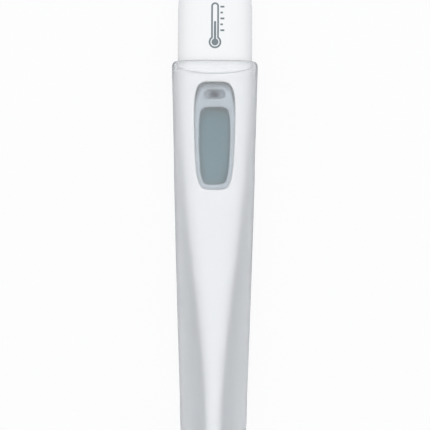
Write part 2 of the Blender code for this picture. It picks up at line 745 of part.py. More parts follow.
def make_inner_frame(material, parent):
    half = FRAME_WIDTH / 2
    board_half = BOARD_WIDTH / 2 + FIT_GAP
    front = BOARD_FRONT_Y - FIT_GAP - FRAME_FLOOR
    rear = CELL_Y + CELL_RADIUS + CELL_GAP + CONTACT_SHEET + 3 * FRAME_FLOOR
    shelf_z = BOARD_UNDER_Z - TOUCH_GAP
    bottom = AXIS_Z - CELL_HEIGHT / 2 - CELL_GAP - CONTACT_SHEET - FRAME_FLOOR
    top = BOARD_TOP_Z
    frame = solid_object(
        "inner_frame", block((-half, front, bottom), (half, rear, top)), material, parent=parent
    )
    pocket = block(
        (-board_half, BOARD_FRONT_Y - FIT_GAP, shelf_z),
        (board_half, BOARD_REAR_Y + FIT_GAP, top + FILM),
    )
    under = block(
        (-board_half + FRAME_SHELF, BOARD_FRONT_Y + FRAME_SHELF, bottom - FILM),
        (board_half - FRAME_SHELF, BOARD_REAR_Y - FRAME_SHELF, top),
    )
    bay = disc(CELL_RADIUS + CELL_GAP, CELL_HEIGHT * 2, 32)
    bay_floor = bottom + FRAME_FLOOR
    slot_half = CONTACT_WIDTH / 2 + FIT_GAP
    channel = block(
        (-slot_half, BOARD_REAR_Y - FRAME_SHELF, bay_floor),
        (slot_half, CELL_Y + CELL_RADIUS + CELL_GAP + CONTACT_SHEET + FIT_GAP, top + FILM),
    )
    for name, mesh, place in (
        ("board_pocket", pocket, (0, 0, 0)),
        ("under_opening", under, (0, 0, 0)),
        ("cell_bay", bay, (0, CELL_Y, bay_floor)),
        ("contact_channel", channel, (0, 0, 0)),
    ):
        combine(frame, as_cutter(solid_object(name, mesh, material, place)))
    core_inset = COVER_WALL + NECK_GAP + NECK_WALL + FIT_GAP
    core = body_core("frame_bore", core_inset, front - FRAME_FLOOR, rear + FRAME_FLOOR, material)
    combine(frame, core, "INTERSECT")
    return frame


# ---------- battery ----------


def make_battery(materials, parent):
    radius, low, step = CELL_RADIUS, -CELL_HEIGHT / 2, CELL_STEP
    round_off = step / 2
    profile = (
        (0, low),
        (radius - 2 * step, low),
        (radius - 2 * step, low + step),
        (radius - round_off, low + step),
        (radius, low + step + round_off),
        (radius, -low - round_off),
        (radius - round_off, -low),
        (0, -low),
    )
    solid_object(
        "button_cell", turned(profile, 32), materials["button_cell"], (0, CELL_Y, AXIS_Z), parent
    )
    under = AXIS_Z - CELL_HEIGHT / 2 - CELL_GAP / 2 - CONTACT_SHEET / 2
    over = AXIS_Z + CELL_HEIGHT / 2 + CELL_GAP / 2 + CONTACT_SHEET / 2
    board_edge = BOARD_REAR_Y - 2 * FRAME_SHELF
    start = board_edge - 1.2 * MM
    below_board = BOARD_UNDER_Z - TOUCH_GAP - CONTACT_SHEET / 2
    above_board = BOARD_TOP_Z + TOUCH_GAP + CONTACT_SHEET / 2
    clear_of_shelf = BOARD_REAR_Y + FIT_GAP + CONTACT_SHEET
    cell_edge = CELL_Y - CELL_RADIUS
    negative = (
        (start, below_board),
        (board_edge, below_board),
        (clear_of_shelf + CONTACT_SHEET, under),
        (CELL_Y + CELL_RADIUS / 2, under),
    )
    positive = (
        (start, above_board),
        (BOARD_REAR_Y, above_board),
        (cell_edge - CELL_GAP, over),
        (CELL_Y + CELL_RADIUS / 2, over),
    )
    for name, path in (("battery_contact_negative", negative), ("battery_contact_positive", positive)):
        mesh = bent_strip(path, CONTACT_SHEET, CONTACT_WIDTH)
        solid_object(name, mesh, materials["contact"], parent=parent)


# ---------- sounder ----------


def spring_points(centre_x, low_z, high_z):
    steps = 10
    points = []
    for step in range(SPRING_TURNS * steps + 1):
        angle = 2 * math.pi * step / steps
        share = step / (SPRING_TURNS * steps)
        points.append(
            (
                centre_x + SPRING_RADIUS * math.cos(angle),
                SOUNDER_Y + SPRING_RADIUS * math.sin(angle),
                low_z + (high_z - low_z) * share,
            )
        )
    return points


def make_sounder(materials, parent):
    floor = AXIS_Z - BODY_DEPTH / 2 + BODY_WALL + SOUNDER_LIFT
    solid_object(
        "sounder_plate",
        disc(SOUNDER_RADIUS, SOUNDER_PLATE, 32),
        materials["sounder_plate"],
        (0, SOUNDER_Y, floor),
        parent,
    )
    ceramic_z = floor + SOUNDER_PLATE + STACK_GAP
    solid_object(
        "sounder_ceramic",
        disc(CERAMIC_RADIUS, CERAMIC_SHEET, 32),
        materials["sounder_ceramic"],
        (0, SOUNDER_Y, ceramic_z),
        parent,
    )
    top = BOARD_UNDER_Z - TOUCH_GAP - SPRING_WIRE
    outer_low = floor + SOUNDER_PLATE + TOUCH_GAP + SPRING_WIRE
    inner_low = ceramic_z + CERAMIC_SHEET + TOUCH_GAP + SPRING_WIRE
    for name, x, low in (
        ("sounder_spring_plate", SPRING_SPREAD, outer_low),
        ("sounder_spring_ceramic", 0.0, inner_low),
    ):
        wire(name, spring_points(x, low, top), SPRING_WIRE, materials["contact"], parent, sides=1)


# ---------- probe ----------

def make_probe(materials, parent):
    sheet = TIP_SHEET
    profile = [(TIP_RADIUS - sheet, TIP_LENGTH)]
    arc = 6
    for step in range(arc + 1):
        angle = math.radians(90 * step / arc)
        inner = TIP_RADIUS - sheet
        profile.append((inner * math.cos(angle), TIP_RADIUS - inner * math.sin(angle)))
    for step in range(arc, -1, -1):
        angle = math.radians(90 * step / arc)
        profile.append((TIP_RADIUS * math.cos(angle), TIP_RADIUS * (1 - math.sin(angle))))
    profile.append((TIP_RADIUS, TIP_LENGTH))
    profile.append((TIP_RADIUS - sheet, TIP_LENGTH))
    solid_object(
        "probe_tip", turned_along_y(profile, 20), materials["probe_tip"], (0, TIP_Y, AXIS_Z), parent
    )
    bead_y = TIP_Y + sheet + FIT_GAP + THERMISTOR_LENGTH / 2
    bead = bmesh.new()
    bmesh.ops.create_uvsphere(bead, u_segments=16, v_segments=10, radius=THERMISTOR_RADIUS)
    stretch = THERMISTOR_LENGTH / 2 / THERMISTOR_RADIUS
    bmesh.ops.scale(bead, verts=bead.verts, vec=(1, stretch, 1))
    solid_object("thermistor", bead, materials["thermistor"], (0, bead_y, AXIS_Z), parent)
    potting_y = bead_y + THERMISTOR_LENGTH / 2 + 2 * FIT_GAP
    potting = solid_object(
        "tip_potting",
        turned_along_y(
            (
                (0, 0),
                (TIP_RADIUS - sheet - TOUCH_GAP, 0),
                (TIP_RADIUS - sheet - TOUCH_GAP, POTTING_LENGTH),
                (0, POTTING_LENGTH),
            ),
            20,
        ),
        materials["tip_potting"],
        (0, potting_y, AXIS_Z),
        parent,
    )
    lead_hole_radius = LEAD_RADIUS + TOUCH_GAP / 2
    for side, name in ((-1, "thermistor_lead_left"), (1, "thermistor_lead_right")):
        x = side * LEAD_SPREAD
        hole = turned_along_y(
            (
                (0, 0),
                (lead_hole_radius, 0),
                (lead_hole_radius, 3 * POTTING_LENGTH),
                (0, 3 * POTTING_LENGTH),
            ),
            10,
        )
        place = (x, potting_y - POTTING_LENGTH, AXIS_Z)
        hole = solid_object(f"potting_hole_{side + 1}", hole, materials["tip_potting"], place)
        combine(potting, as_cutter(hole))
        start_y = bead_y + THERMISTOR_LENGTH / 2 + TOUCH_GAP
        fan_y = TIP_Y + CAVITY_START
        points = [(x, y, AXIS_Z) for y in spread(start_y, fan_y, 5)]
        pad_x = side * LEAD_PAD_X
        over_z = BOARD_TOP_Z + LEAD_RADIUS + LEAD_CLEARANCE
        approach = BOARD_FRONT_Y + FIT_GAP - fan_y
        for step in range(1, 9):
            share = step / 8
            ease = share * share * (3 - 2 * share)
            points.append(
                (x + (pad_x - x) * ease, fan_y + approach * share, AXIS_Z + (over_z - AXIS_Z) * ease)
            )
        points.append((pad_x, LEAD_PAD_Y - 2 * LEAD_RADIUS, over_z - LEAD_RADIUS / 2))
        points.append((pad_x, LEAD_PAD_Y - LEAD_RADIUS / 2, over_z - 2 * LEAD_RADIUS))
        points.append((pad_x, LEAD_PAD_Y, over_z - 3 * LEAD_RADIUS))
        points.append((pad_x, LEAD_PAD_Y, BOARD_UNDER_Z))
        wire(name, points, LEAD_RADIUS, materials["contact"], parent)


def main():
    clear_scene()
    white = finish("white_plastic", (0.86, 0.87, 0.88), 0.25)
    materials = {
        "storage_case": finish("frosted_case", (0.80, 0.84, 0.87), 0.45, alpha=0.5),
        "main_housing": white,
        "battery_cover": white,
        "display_frame": finish("frame_grey", (0.42, 0.48, 0.54), 0.35),
        "display_window": finish("clear_window", (0.80, 0.85, 0.88), 0.1, alpha=0.4),
        "power_button": finish("button_grey", (0.33, 0.38, 0.43), 0.5),
        "lcd_polarizer": finish("lcd_film", (0.27, 0.36, 0.39), 0.3),
        "lcd_glass": finish("lcd_glass", (0.55, 0.62, 0.60), 0.1),
        "lcd_backing": finish("lcd_backing", (0.62, 0.64, 0.62), 0.4),
        "lcd_holder": finish("holder_white", (0.70, 0.71, 0.70), 0.5),
        "zebra_strip": finish("strip_rubber", (0.25, 0.10, 0.10), 0.7),
        "circuit_board": finish("board_green", (0.03, 0.20, 0.08), 0.4),
        "switch_dome": finish("dome_steel", (0.60, 0.60, 0.58), 0.25, 1.0),
        "ic_blob": finish("epoxy_black", (0.015, 0.015, 0.015), 0.4),
        "reference_resistor": finish("resistor_black", (0.03, 0.03, 0.035), 0.4),
        "filter_capacitor": finish("capacitor_tan", (0.45, 0.30, 0.17), 0.5),
        "inner_frame": finish("frame_white", (0.75, 0.75, 0.73), 0.5),
        "button_cell": finish("cell_steel", (0.62, 0.63, 0.64), 0.2, 1.0),
        "contact": finish("contact_nickel", (0.55, 0.54, 0.50), 0.3, 1.0),
        "sounder_plate": finish("brass_plate", (0.66, 0.48, 0.20), 0.3, 1.0),
        "sounder_ceramic": finish("ceramic_disc", (0.72, 0.71, 0.66), 0.35),
        "probe_tip": finish("tip_steel", (0.66, 0.66, 0.66), 0.15, 1.0),
        "tip_potting": finish("potting_epoxy", (0.25, 0.12, 0.05), 0.35),
        "thermistor": finish("thermistor_glass", (0.10, 0.05, 0.03), 0.2),
    }
    make_storage_case(materials["storage_case"])
    thermometer = anchor("thermometer_slide", (0, 0, 0))
    make_main_housing(materials["main_housing"], thermometer)
    cover_pivot = anchor("battery_cover_slide", (0, SEAM_Y, AXIS_Z), thermometer)
    make_battery_cover(materials["battery_cover"], cover_pivot)
    margin = PANEL_LENGTH / 2 + 3 * PANEL_GAP
    low_y, high_y = PANEL_Y - margin, PANEL_Y + margin
    frame_core = body_core("frame_core", PANEL_RECESS, low_y, high_y, materials["display_frame"])
    window_core = body_core("window_core", WINDOW_RECESS, low_y, high_y, materials["display_window"])
    make_display_frame(materials["display_frame"], thermometer, frame_core)
    make_display_window(materials["display_window"], thermometer, window_core)
    button_pivot = anchor("power_button_slide", (0, BUTTON_Y, AXIS_Z), thermometer)
    make_power_button(materials["power_button"], button_pivot)
    make_lcd_stack(materials, thermometer)
    make_board(materials, thermometer)
    make_inner_frame(materials["inner_frame"], thermometer)
    make_battery(materials, thermometer)
    make_sounder(materials, thermometer)
    make_probe(materials, thermometer)


main()
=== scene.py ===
import collections
import math

import bmesh
import bpy
from bpy.props import FloatProperty, FloatVectorProperty, IntProperty, PointerProperty
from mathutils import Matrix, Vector


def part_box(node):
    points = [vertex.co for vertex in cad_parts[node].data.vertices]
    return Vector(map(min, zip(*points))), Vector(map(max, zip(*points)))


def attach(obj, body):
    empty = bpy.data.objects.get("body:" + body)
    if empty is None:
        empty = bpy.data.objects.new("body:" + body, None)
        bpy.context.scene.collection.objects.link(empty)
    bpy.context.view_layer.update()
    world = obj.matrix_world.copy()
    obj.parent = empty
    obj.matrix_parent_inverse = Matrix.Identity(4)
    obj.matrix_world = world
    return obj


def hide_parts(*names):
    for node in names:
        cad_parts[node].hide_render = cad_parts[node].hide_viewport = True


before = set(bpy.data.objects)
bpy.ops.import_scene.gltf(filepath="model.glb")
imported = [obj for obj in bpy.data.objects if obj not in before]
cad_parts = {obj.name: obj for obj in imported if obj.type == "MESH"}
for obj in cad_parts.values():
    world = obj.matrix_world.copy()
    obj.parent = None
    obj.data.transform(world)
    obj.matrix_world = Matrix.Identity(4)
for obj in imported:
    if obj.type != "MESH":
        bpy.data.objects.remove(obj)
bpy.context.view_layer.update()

bl_info = {
    "name": "Stored Digital Thermometer",
    "version": (1, 0, 0),
    "blender": (4, 5, 0),
    "location": "View3D > Sidebar > Thermometer",
    "description": "Builds a pencil-type digital thermometer in its frosted case",
    "category": "Object",
}

MM = 0.001
MICRON = 1e-6

# Differences that don't matter: of a ratio, and of a superellipse exponent
SAME = 1e-6
SAME_POWER = 1e-4

# Radius of the hole left at the middle of a turned face, as a share, before it is capped
POLE = 0.1

# Places read from the frame
CASE_LOW, CASE_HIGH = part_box("storage_case")
HOUSING_LOW, HOUSING_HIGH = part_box("main_housing")
COVER_LOW, COVER_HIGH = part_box("battery_cover")
PANEL_LOW, PANEL_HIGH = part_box("display_frame")
WINDOW_LOW, WINDOW_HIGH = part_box("display_window")
BUTTON_LOW, BUTTON_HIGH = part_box("power_button")
TIP_LOW, TIP_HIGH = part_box("probe_tip")
AXIS_Z = (HOUSING_LOW.z + HOUSING_HIGH.z) / 2
FULL_DEPTH = (HOUSING_HIGH.z - HOUSING_LOW.z) / 2
FULL_WIDTH = COVER_HIGH.x
REAR_Y = COVER_HIGH.y
SEAM_Y = COVER_LOW.y
TIP_Y = TIP_LOW.y
MOUTH_Y = CASE_HIGH.y
CASE_END_Y = CASE_LOW.y
ABOVE = AXIS_Z + 2 * FULL_DEPTH

# The panel's outline narrows evenly towards the tip and rounds off towards both ends, so it is
# a little wider than its nominal width behind the middle.
NARROWING = 0.08
ROUNDING_OFF = 0.06
WIDEST = 1.02
PANEL_Y = (PANEL_LOW.y + PANEL_HIGH.y) / 2
PANEL_SIZE = (2 * PANEL_HIGH.x / WIDEST, PANEL_HIGH.y - PANEL_LOW.y)
VIEW_Y = (WINDOW_LOW.y + WINDOW_HIGH.y) / 2
BUTTON_Y = (BUTTON_LOW.y + BUTTON_HIGH.y) / 2


# ---------- settings shown in the sidebar ----------


def length(name, text, default):
    return FloatProperty(name=name, description=text, default=default, unit="LENGTH", precision=5)


def number(name, text, default):
    return FloatProperty(name=name, description=text, default=default, min=0.0)


def colour(name, text, default):
    return FloatVectorProperty(
        name=name, description=text, default=default, subtype="COLOR", size=3, min=0.0, max=1.0
    )


class ThermometerBodySizes(bpy.types.PropertyGroup):
    """Shape of the white body and of its battery cover."""

    squareness: number("Squareness", "Superellipse exponent of the section", 2.8)
    wall: length("Wall", "Thickness of the body's wall", 1.0 * MM)
    front_wall: length("Front wall", "Thickness under the display panel", 1.4 * MM)
    shaft: length("Shaft radius", "Radius of the straight probe", 1.95 * MM)
    shaft_end: length("Shaft length", "Straight probe, tip included", 13.0 * MM)
    straight: length("Straight body", "Full-width length at the rear", 22.6 * MM)
    waist: length("Waist", "Length over which the sides start to draw in", 23.9 * MM)
    waist_drop: length("Waist drop", "Half-width lost over the waist", 0.85 * MM)
    taper_power: number("Taper power", "How fast the taper slims", 1.8)
    depth_start: length("Depth taper", "Rear end to where the body gets thinner", 59.6 * MM)
    round_wide: length("Rear rounding, wide", "Rounding seen from the front", 12.6 * MM)
    round_deep: length("Rear rounding, deep", "Rounding seen from the side", 6.0 * MM)
    round_power: number("Rear squareness", "Superellipse exponent of the rear end", 2.8)
    seam_rise: length("Seam rise", "How far the cover's seam climbs at the sides", 1.9 * MM)
    seam_gap: length("Seam gap", "Gap between cover and body", 0.1 * MM)
    seam_bevel: length("Seam bevel", "Length of the body's bevel at the seam", 0.85 * MM)
    seam_bevel_depth: length("Seam bevel depth", "Depth of that bevel", 0.15 * MM)
    cover_wall: length("Cover wall", "Thickness of the battery cover", 1.0 * MM)
    neck: length("Neck", "Length of the neck under the cover", 4.6 * MM)
    neck_wall: length("Neck wall", "Thickness of the neck", 0.8 * MM)
    neck_gap: length("Neck gap", "Play between neck and cover", 0.25 * MM)
    bore: length("Lead bore", "Radius of the bore for the leads", 0.85 * MM)
    cavity_start: length("Cavity start", "Tip to where the bore opens out", 30.0 * MM)
    spigot: length("Spigot", "Length of the spigot inside the steel tip", 3.0 * MM)
    spigot_radius: length("Spigot radius", "Its radius", 1.3 * MM)


class StorageCaseSizes(bpy.types.PropertyGroup):
    """Shape of the frosted case."""

    wall: length("Wall", "Thickness of the case's wall", 1.1 * MM)
    end_wall: length("End wall", "Thickness of the closed end", 1.2 * MM)
    end_width: length("End width", "Width before the closed end's rounding", 17.4 * MM)
    end_depth: length("End depth", "Thickness before the closed end's rounding", 11.4 * MM)
    land_sink: length("Land sink", "Depth of the flat land on the back", 0.25 * MM)
    bulge: length("Bulge", "How far the sides bow out", 0.15 * MM)
    lip_length: length("Lip length", "Length of the lip's rounding", 1.4 * MM)
    lip_depth: length("Lip depth", "Depth of the lip's rounding", 0.85 * MM)
    round_wide: length("End rounding, wide", "Rounding seen from the front", 24.6 * MM)
    round_deep: length("End rounding, deep", "Rounding seen from the side", 9.0 * MM)
    end_squareness: number("End squareness", "Superellipse exponent of the closed end", 2.5)


class ThermometerPanelSizes(bpy.types.PropertyGroup):
    """Shape of the display panel and of the button in it."""

    squareness: number("Squareness", "Superellipse exponent of the panel's outline", 5.0)
    gap: length("Gap", "Gap round the panel", 0.15 * MM)
    recess: length("Recess", "How far the panel lies below the body's surface", 0.2 * MM)
    sink: length("Sink", "Body's surface to the underside of the panel", 1.05 * MM)
    lift: length("Lift", "Gap under the panel", 0.1 * MM)
    skirt: length("Skirt", "Wall round the view, down to the display", 0.7 * MM)
    skirt_gap: length("Skirt gap", "Gap round that wall", 0.25 * MM)
    window_gap: length("Window gap", "Gap round the window", 0.12 * MM)
    window_recess: length("Window recess", "How far the window lies below the surface", 0.35 * MM)
    view_width: length("View width", "Width of the view", 7.85 * MM)
    view_length: length("View length", "Length of the view", 19.8 * MM)
    button_width: length("Button width", "Width of the pill-shaped button", 5.0 * MM)
    button_height: length("Button height", "Its height", 2.0 * MM)
    button_gap: length("Button gap", "Gap round the button", 0.15 * MM)
    dish: length("Button dish", "Depth of the dish in the button", 0.25 * MM)
    flange: length("Button flange", "Thickness of the flange that holds the button", 0.5 * MM)
    flange_gap: length("Flange gap", "Flange to the body's front wall", 0.2 * MM)
    stem: length("Button stem", "Radius of the stem that presses the dome", 0.85 * MM)


class ThermometerFinishes(bpy.types.PropertyGroup):
    """Colours of the finishes."""

    white: colour("Body white", "White of the body", (0.875, 0.885, 0.90))
    cover: colour("Cover white", "White of the battery cover", (0.69, 0.70, 0.712))
    case: colour("Case", "Tint of the frosted case", (0.985, 0.99, 0.995))
    panel: colour("Panel", "Grey of the display panel", (0.48, 0.54, 0.59))
    film: colour("Display", "Grey-green of the display", (0.165, 0.375, 0.445))
    # The button's dark grey is painted shade for the dish in the button.
    button: colour("Button", "Dark grey of the button's dish", (0.035, 0.05, 0.07))
    print: colour("Print", "Grey of the printed sign", (0.13, 0.165, 0.185))
    floor: colour("Floor", "Pale floor", (0.42, 0.43, 0.445))


class ThermometerStage(bpy.types.PropertyGroup):
    """Camera, lights and floor."""

    distance: length("Camera distance", "Camera to the body's middle plane", 0.320)
    lens: number("Lens", "Focal length in millimetres", 103.6)
    aim_x: length("Aim across", "Where the camera looks, across", 0.2 * MM)
    aim_y: length("Aim along", "Where the camera looks, along", 4.3 * MM)
    roll: FloatProperty(name="Roll", description="Camera roll", default=0.0044, unit="ROTATION")
    world: number("Room light", "Strength of the light from all round", 0.62)
    overhead: number("Overhead light", "What the light from above adds to it", 0.85)
    rear_share: number("Rear light", "Share by which the rear side is brighter", 0.3)
    key: number("Key light", "Power of the rear softbox, in watts", 1.2)
    key_size: length("Key size", "Width of the rear softbox", 0.9)
    key_reach: length("Key place", "How far behind and above the object it stands", 0.62)
    floor_gap: length("Floor gap", "How far the floor lies below the case", 0.05 * MM)
    samples_round: IntProperty(name="Ring points", description="Points round a section", default=96)


# ---------- shader nodes as expressions ----------


class Value:
    """One output of a node. Arithmetic on it adds Math nodes to its tree."""

    def __init__(self, tree, socket):
        self.tree = tree
        self.socket = socket

    def math(self, operation, *terms):
        node = self.tree.nodes.new("ShaderNodeMath")
        node.operation = operation
        for slot, term in zip(node.inputs, terms):
            if isinstance(term, Value):
                self.tree.links.new(term.socket, slot)
            else:
                slot.default_value = term
        return Value(self.tree, node.outputs[0])

    def __add__(self, other):
        return self.math("ADD", self, other)

    def __radd__(self, other):
        return self.math("ADD", other, self)

    def __sub__(self, other):
        return self.math("SUBTRACT", self, other)

    def __rsub__(self, other):
        return self.math("SUBTRACT", other, self)

    def __mul__(self, other):
        return self.math("MULTIPLY", self, other)

    def __rmul__(self, other):
        return self.math("MULTIPLY", other, self)

    def __truediv__(self, other):
        return self.math("DIVIDE", self, other)

    def __pow__(self, other):
        return self.math("POWER", self, other)

    def __abs__(self):
        return self.math("ABSOLUTE", self)

    def sine(self):
        return self.math("SINE", self)


class Finish:
    """A material under construction, or a world."""

    def __init__(self, name, world=None):
        self.owner = world or bpy.data.materials.new(name)
        self.owner.use_nodes = True
        self.tree = self.owner.node_tree
        self.tree.nodes.clear()
        self.coordinates = None

    def add(self, kind, settings=None, values=None, output=0):
        """Any node: its settings first, then the values or links of its sockets."""
        node = self.tree.nodes.new(kind)
        for key, setting in (settings or {}).items():
            setattr(node, key, setting)
        for key, value in (values or {}).items():
            slot = self.slot_of(node, key)
            if isinstance(value, Value):
                self.tree.links.new(value.socket, slot)
            elif slot.type == "RGBA":
                slot.default_value = (*tuple(value)[:3], 1.0)
            else:
                slot.default_value = value
        return Value(self.tree, node.outputs[output]) if node.outputs else None

    def slot_of(self, node, key):
        """A socket by its number, its identifier or its name, tried in that order."""
        if isinstance(key, int):
            return node.inputs[key]
        for slot in node.inputs:
            if slot.identifier == key:
                return slot
        return node.inputs[key]

    def place(self):
        if self.coordinates is None:
            self.coordinates = self.add("ShaderNodeTexCoord", output="Object")
        return self.coordinates

    def along(self, axis):
        """The object coordinate along X, Y or Z."""
        return self.add("ShaderNodeSeparateXYZ", values={0: self.place()}, output=axis)

    def noise(self, scale, detail, roughness, density=None):
        """Noise with about this many patches in a metre, times the density along each axis."""
        place = self.place()
        if density:
            place = self.add("ShaderNodeMapping", values={"Vector": place, "Scale": density})
        values = {"Vector": place, "Scale": scale, "Detail": detail, "Roughness": roughness}
        return self.add("ShaderNodeTexNoise", values=values)

    def flow_marks(self):
        """Cloudy streaks about 6 mm wide, drawn out along the length."""
        return self.noise(160.0, detail=3.0, roughness=0.55, density=(1.0, 0.35, 1.0))

    def fine_grain(self, scale=9000.0):
        """Even texture about a tenth of a millimetre across."""
        return self.noise(scale, detail=2.0, roughness=0.6)

    def rise(self, value, low, high):
        """0 below low, 1 above high, smooth between."""
        return self.add(
            "ShaderNodeMapRange",
            {"interpolation_type": "SMOOTHSTEP"},
            {"Value": value, "From Min": low, "From Max": high},
        )

    def blend(self, share, first, second):
        return self.add(
            "ShaderNodeMix",
            {"data_type": "RGBA"},
            {"Factor_Float": share, "A_Color": first, "B_Color": second},
            output=2,
        )

    def mix(self, share, first, second):
        """Two shaders, the second by this share."""
        return self.add("ShaderNodeMixShader", values={0: share, 1: first, 2: second})

    def bump(self, height, depth):
        return self.add("ShaderNodeBump", values={"Height": height, "Distance": depth})

    def principled(self, **values):
        named = {}
        for key, value in values.items():
            named[key.replace("_", " ").title().replace("Ior", "IOR")] = value
        return self.add("ShaderNodeBsdfPrincipled", values=named)

    def done(self, shader, output="ShaderNodeOutputMaterial"):
        self.add(output, values={"Surface": shader})
        return self.owner


def shaded(base, share):
    """A colour made lighter or darker."""
    return tuple(min(channel * share, 1.0) for channel in base)


# ---------- finishes ----------


def moulded_plastic(name, base, roughness, variation, coat=0.0):
    """Injection-moulded plastic: faint flow marks, fine texture, uneven gloss, light scuffs."""
    made = Finish(name)
    flow, fine = made.flow_marks(), made.fine_grain()
    scratches = made.noise(1400.0, detail=4.0, roughness=0.7, density=(1.0, 0.12, 1.0))
    scuffs = made.rise(scratches, 0.62, 0.72)
    shader = made.principled(
        base_color=made.blend(flow, shaded(base, 1 - variation), shaded(base, 1 + variation)),
        roughness=roughness + (fine - 0.5) * 0.08 + scuffs * 0.06,
        coat_weight=coat,
        normal=made.bump(fine + flow * 0.4, 0.4 * MICRON),
    )
    return made.done(shader)


def cover_with_painted_light(name, out_of_case_white, painted_light_white):
    """Glossy white, a little rougher where the cover stands out of the case. Inside the case it is
    painted lighter, standing in for the light the case passes to it.
    """
    made = Finish(name)
    flow, fine = made.flow_marks(), made.fine_grain()
    # Painted light: the white is lighter below the mouth, inside the case, and is the cover's own
    # white out of it.
    outside = made.rise(made.along("Y"), MOUTH_Y - 0.3 * MM, MOUTH_Y + 0.5 * MM)
    streak = 0.985
    light = made.blend(outside, painted_light_white, out_of_case_white)
    dark = made.blend(outside, shaded(painted_light_white, streak), shaded(out_of_case_white, streak))
    shader = made.principled(
        base_color=made.blend(flow, dark, light),
        roughness=0.17 + fine * 0.04 + outside * 0.03,
        coat_weight=0.4,
        normal=made.bump(fine + flow * 0.4, 0.3 * MICRON),
    )
    return made.done(shader)


def frosted_plastic(name, base):
    """Translucent satin polypropylene: rough refraction with a milky share.

    Towards the mouth it clears and gets smoother, and a dark milky band is painted along the
    mouth's cut edge as shadow in the gap between lip and cover.
    """
    made = Finish(name)
    etched = made.noise(5200.0, detail=3.0, roughness=0.65)
    cloud = made.noise(120.0, detail=3.0, roughness=0.5)
    normal = made.bump(etched, 0.2 * MICRON)
    lip = made.rise(made.along("Y"), MOUTH_Y - 4.5 * MM, MOUTH_Y - 2.0 * MM)
    # Painted shadow: darker and milkier along the mouth's cut edge, for the shade in the gap
    # between lip and cover.
    painted_lip_shadow = made.rise(made.along("Y"), MOUTH_Y - 0.45 * MM, MOUTH_Y - 0.25 * MM)
    clear = made.blend(cloud, shaded(base, 0.985), base)
    wall = made.principled(
        base_color=made.blend(painted_lip_shadow, clear, shaded(base, 0.6)),
        roughness=0.45 + (etched - 0.5) * 0.04 - lip * 0.2,
        transmission_weight=1.0,
        ior=1.33,
        normal=normal,
    )
    pale = made.blend(cloud, shaded(base, 0.96), shaded(base, 0.98))
    milk = made.principled(
        base_color=made.blend(painted_lip_shadow, pale, shaded(base, 0.55)), roughness=0.5, normal=normal
    )
    glow = made.add("ShaderNodeBsdfTranslucent", values={"Color": base, "Normal": normal})
    milk_share = 0.05 + (cloud - 0.5) * 0.01 - lip * 0.04 + painted_lip_shadow * 0.4
    return made.done(made.mix(milk_share, wall, made.mix(0.35, milk, glow)))


def clear_plastic(name, base):
    """Clear, with a trace of haze and hairlines along the length."""
    made = Finish(name)
    haze = made.noise(900.0, detail=3.0, roughness=0.6)
    scratches = made.noise(2500.0, detail=2.0, roughness=0.5, density=(1.0, 0.05, 1.0))
    hairline = made.rise(scratches, 0.66, 0.74)
    shader = made.principled(
        base_color=made.blend(haze, shaded(base, 0.97), base),
        roughness=0.04 + hairline * 0.08 + haze * 0.02,
        transmission_weight=1.0,
        ior=1.5,
    )
    return made.done(shader)


def outline_reach(made, centre_y, size):
    """0 at the centre of a panel outline and 1 all round it, and the place along Y, -1 to 1."""
    power = bpy.context.scene.thermometer_panel.squareness
    width, long = size
    along = (made.along("Y") - centre_y) / (long / 2)
    narrowing = 1 + along * NARROWING - along * along * ROUNDING_OFF
    across = abs(made.along("X")) / (narrowing * (width / 2))
    return (across**power + abs(along) ** power) ** (1 / power), along


def display_film(name, base):
    """Idle display in the shade of its frame, darker at the rear and along its rim."""
    made = Finish(name)
    reach, along = outline_reach(made, VIEW_Y, view_size())
    rim = made.rise(reach, 0.85, 0.99)
    rear = made.rise(along, 0.55, 1.0)
    rows = made.noise(9000.0, detail=1.0, roughness=0.5, density=(0.1, 1.0, 1.0))
    shade = rim * 0.55 + rear * 0.5 + rows * 0.08
    tone = made.blend(shade, shaded(base, 1.03), shaded(base, 0.35))
    return made.done(made.principled(base_color=tone, roughness=0.35 + rows * 0.06))


def panel_with_painted_shade(name, base):
    """Satin grey panel with painted shade along its rim where it dips below the body, deepest at
    the rear.
    """
    made = Finish(name)
    reach, along = outline_reach(made, PANEL_Y, PANEL_SIZE)
    fine = made.fine_grain()
    flow = made.noise(200.0, detail=3.0, roughness=0.55)
    # Painted shade: a dark band round the rear of the rim, and a thin dark line round the rest of
    # the outline.
    rear = made.rise(reach, 0.84, 0.99) * made.rise(along, 0.35, 0.8)
    line = made.rise(reach, 0.96, 1.0) * made.rise(along, -0.9, 0.2)
    shader = made.principled(
        base_color=made.blend(rear * 0.9 + line * 0.3, base, shaded(base, 0.3)),
        roughness=0.38 + (fine - 0.5) * 0.08 + flow * 0.05,
        coat_weight=0.1,
        normal=made.bump(fine, 0.4 * MICRON),
    )
    return made.done(shader)


def button_with_painted_dish_shade(name, base, dark):
    """The panel's grey, with painted shade in the dish: dark in the middle and fading out sideways.
    """
    made = Finish(name)
    across = made.along("X") / (2.6 * MM)
    along = (made.along("Y") - BUTTON_Y) / (1.4 * MM)
    # Painted shade: the dish is darkened towards its middle.
    dish = 1 - made.rise((across * across + along * along) ** 0.5, 0.1, 1.0)
    fine = made.fine_grain(14000.0)
    shader = made.principled(
        base_color=made.blend(dish + (fine - 0.5) * 0.05, shaded(base, 0.85), dark),
        roughness=0.45 + fine * 0.06,
        normal=made.bump(fine, 0.5 * MICRON),
    )
    return made.done(shader)


def worked_metal(name, base, roughness, density=(1.0, 1.0, 1.0)):
    """Plated or drawn metal, whose fine marks run across the axis where they are densest."""
    made = Finish(name)
    marks = made.noise(4000.0, detail=4.0, roughness=0.7, density=density)
    stain = made.noise(260.0, detail=3.0, roughness=0.5)
    shader = made.principled(
        base_color=made.blend(stain, shaded(base, 0.9), shaded(base, 1.05)),
        roughness=roughness + (marks - 0.5) * 0.18 + stain * 0.05,
        metallic=1.0,
        normal=made.bump(marks, 0.5 * MICRON),
    )
    return made.done(shader)


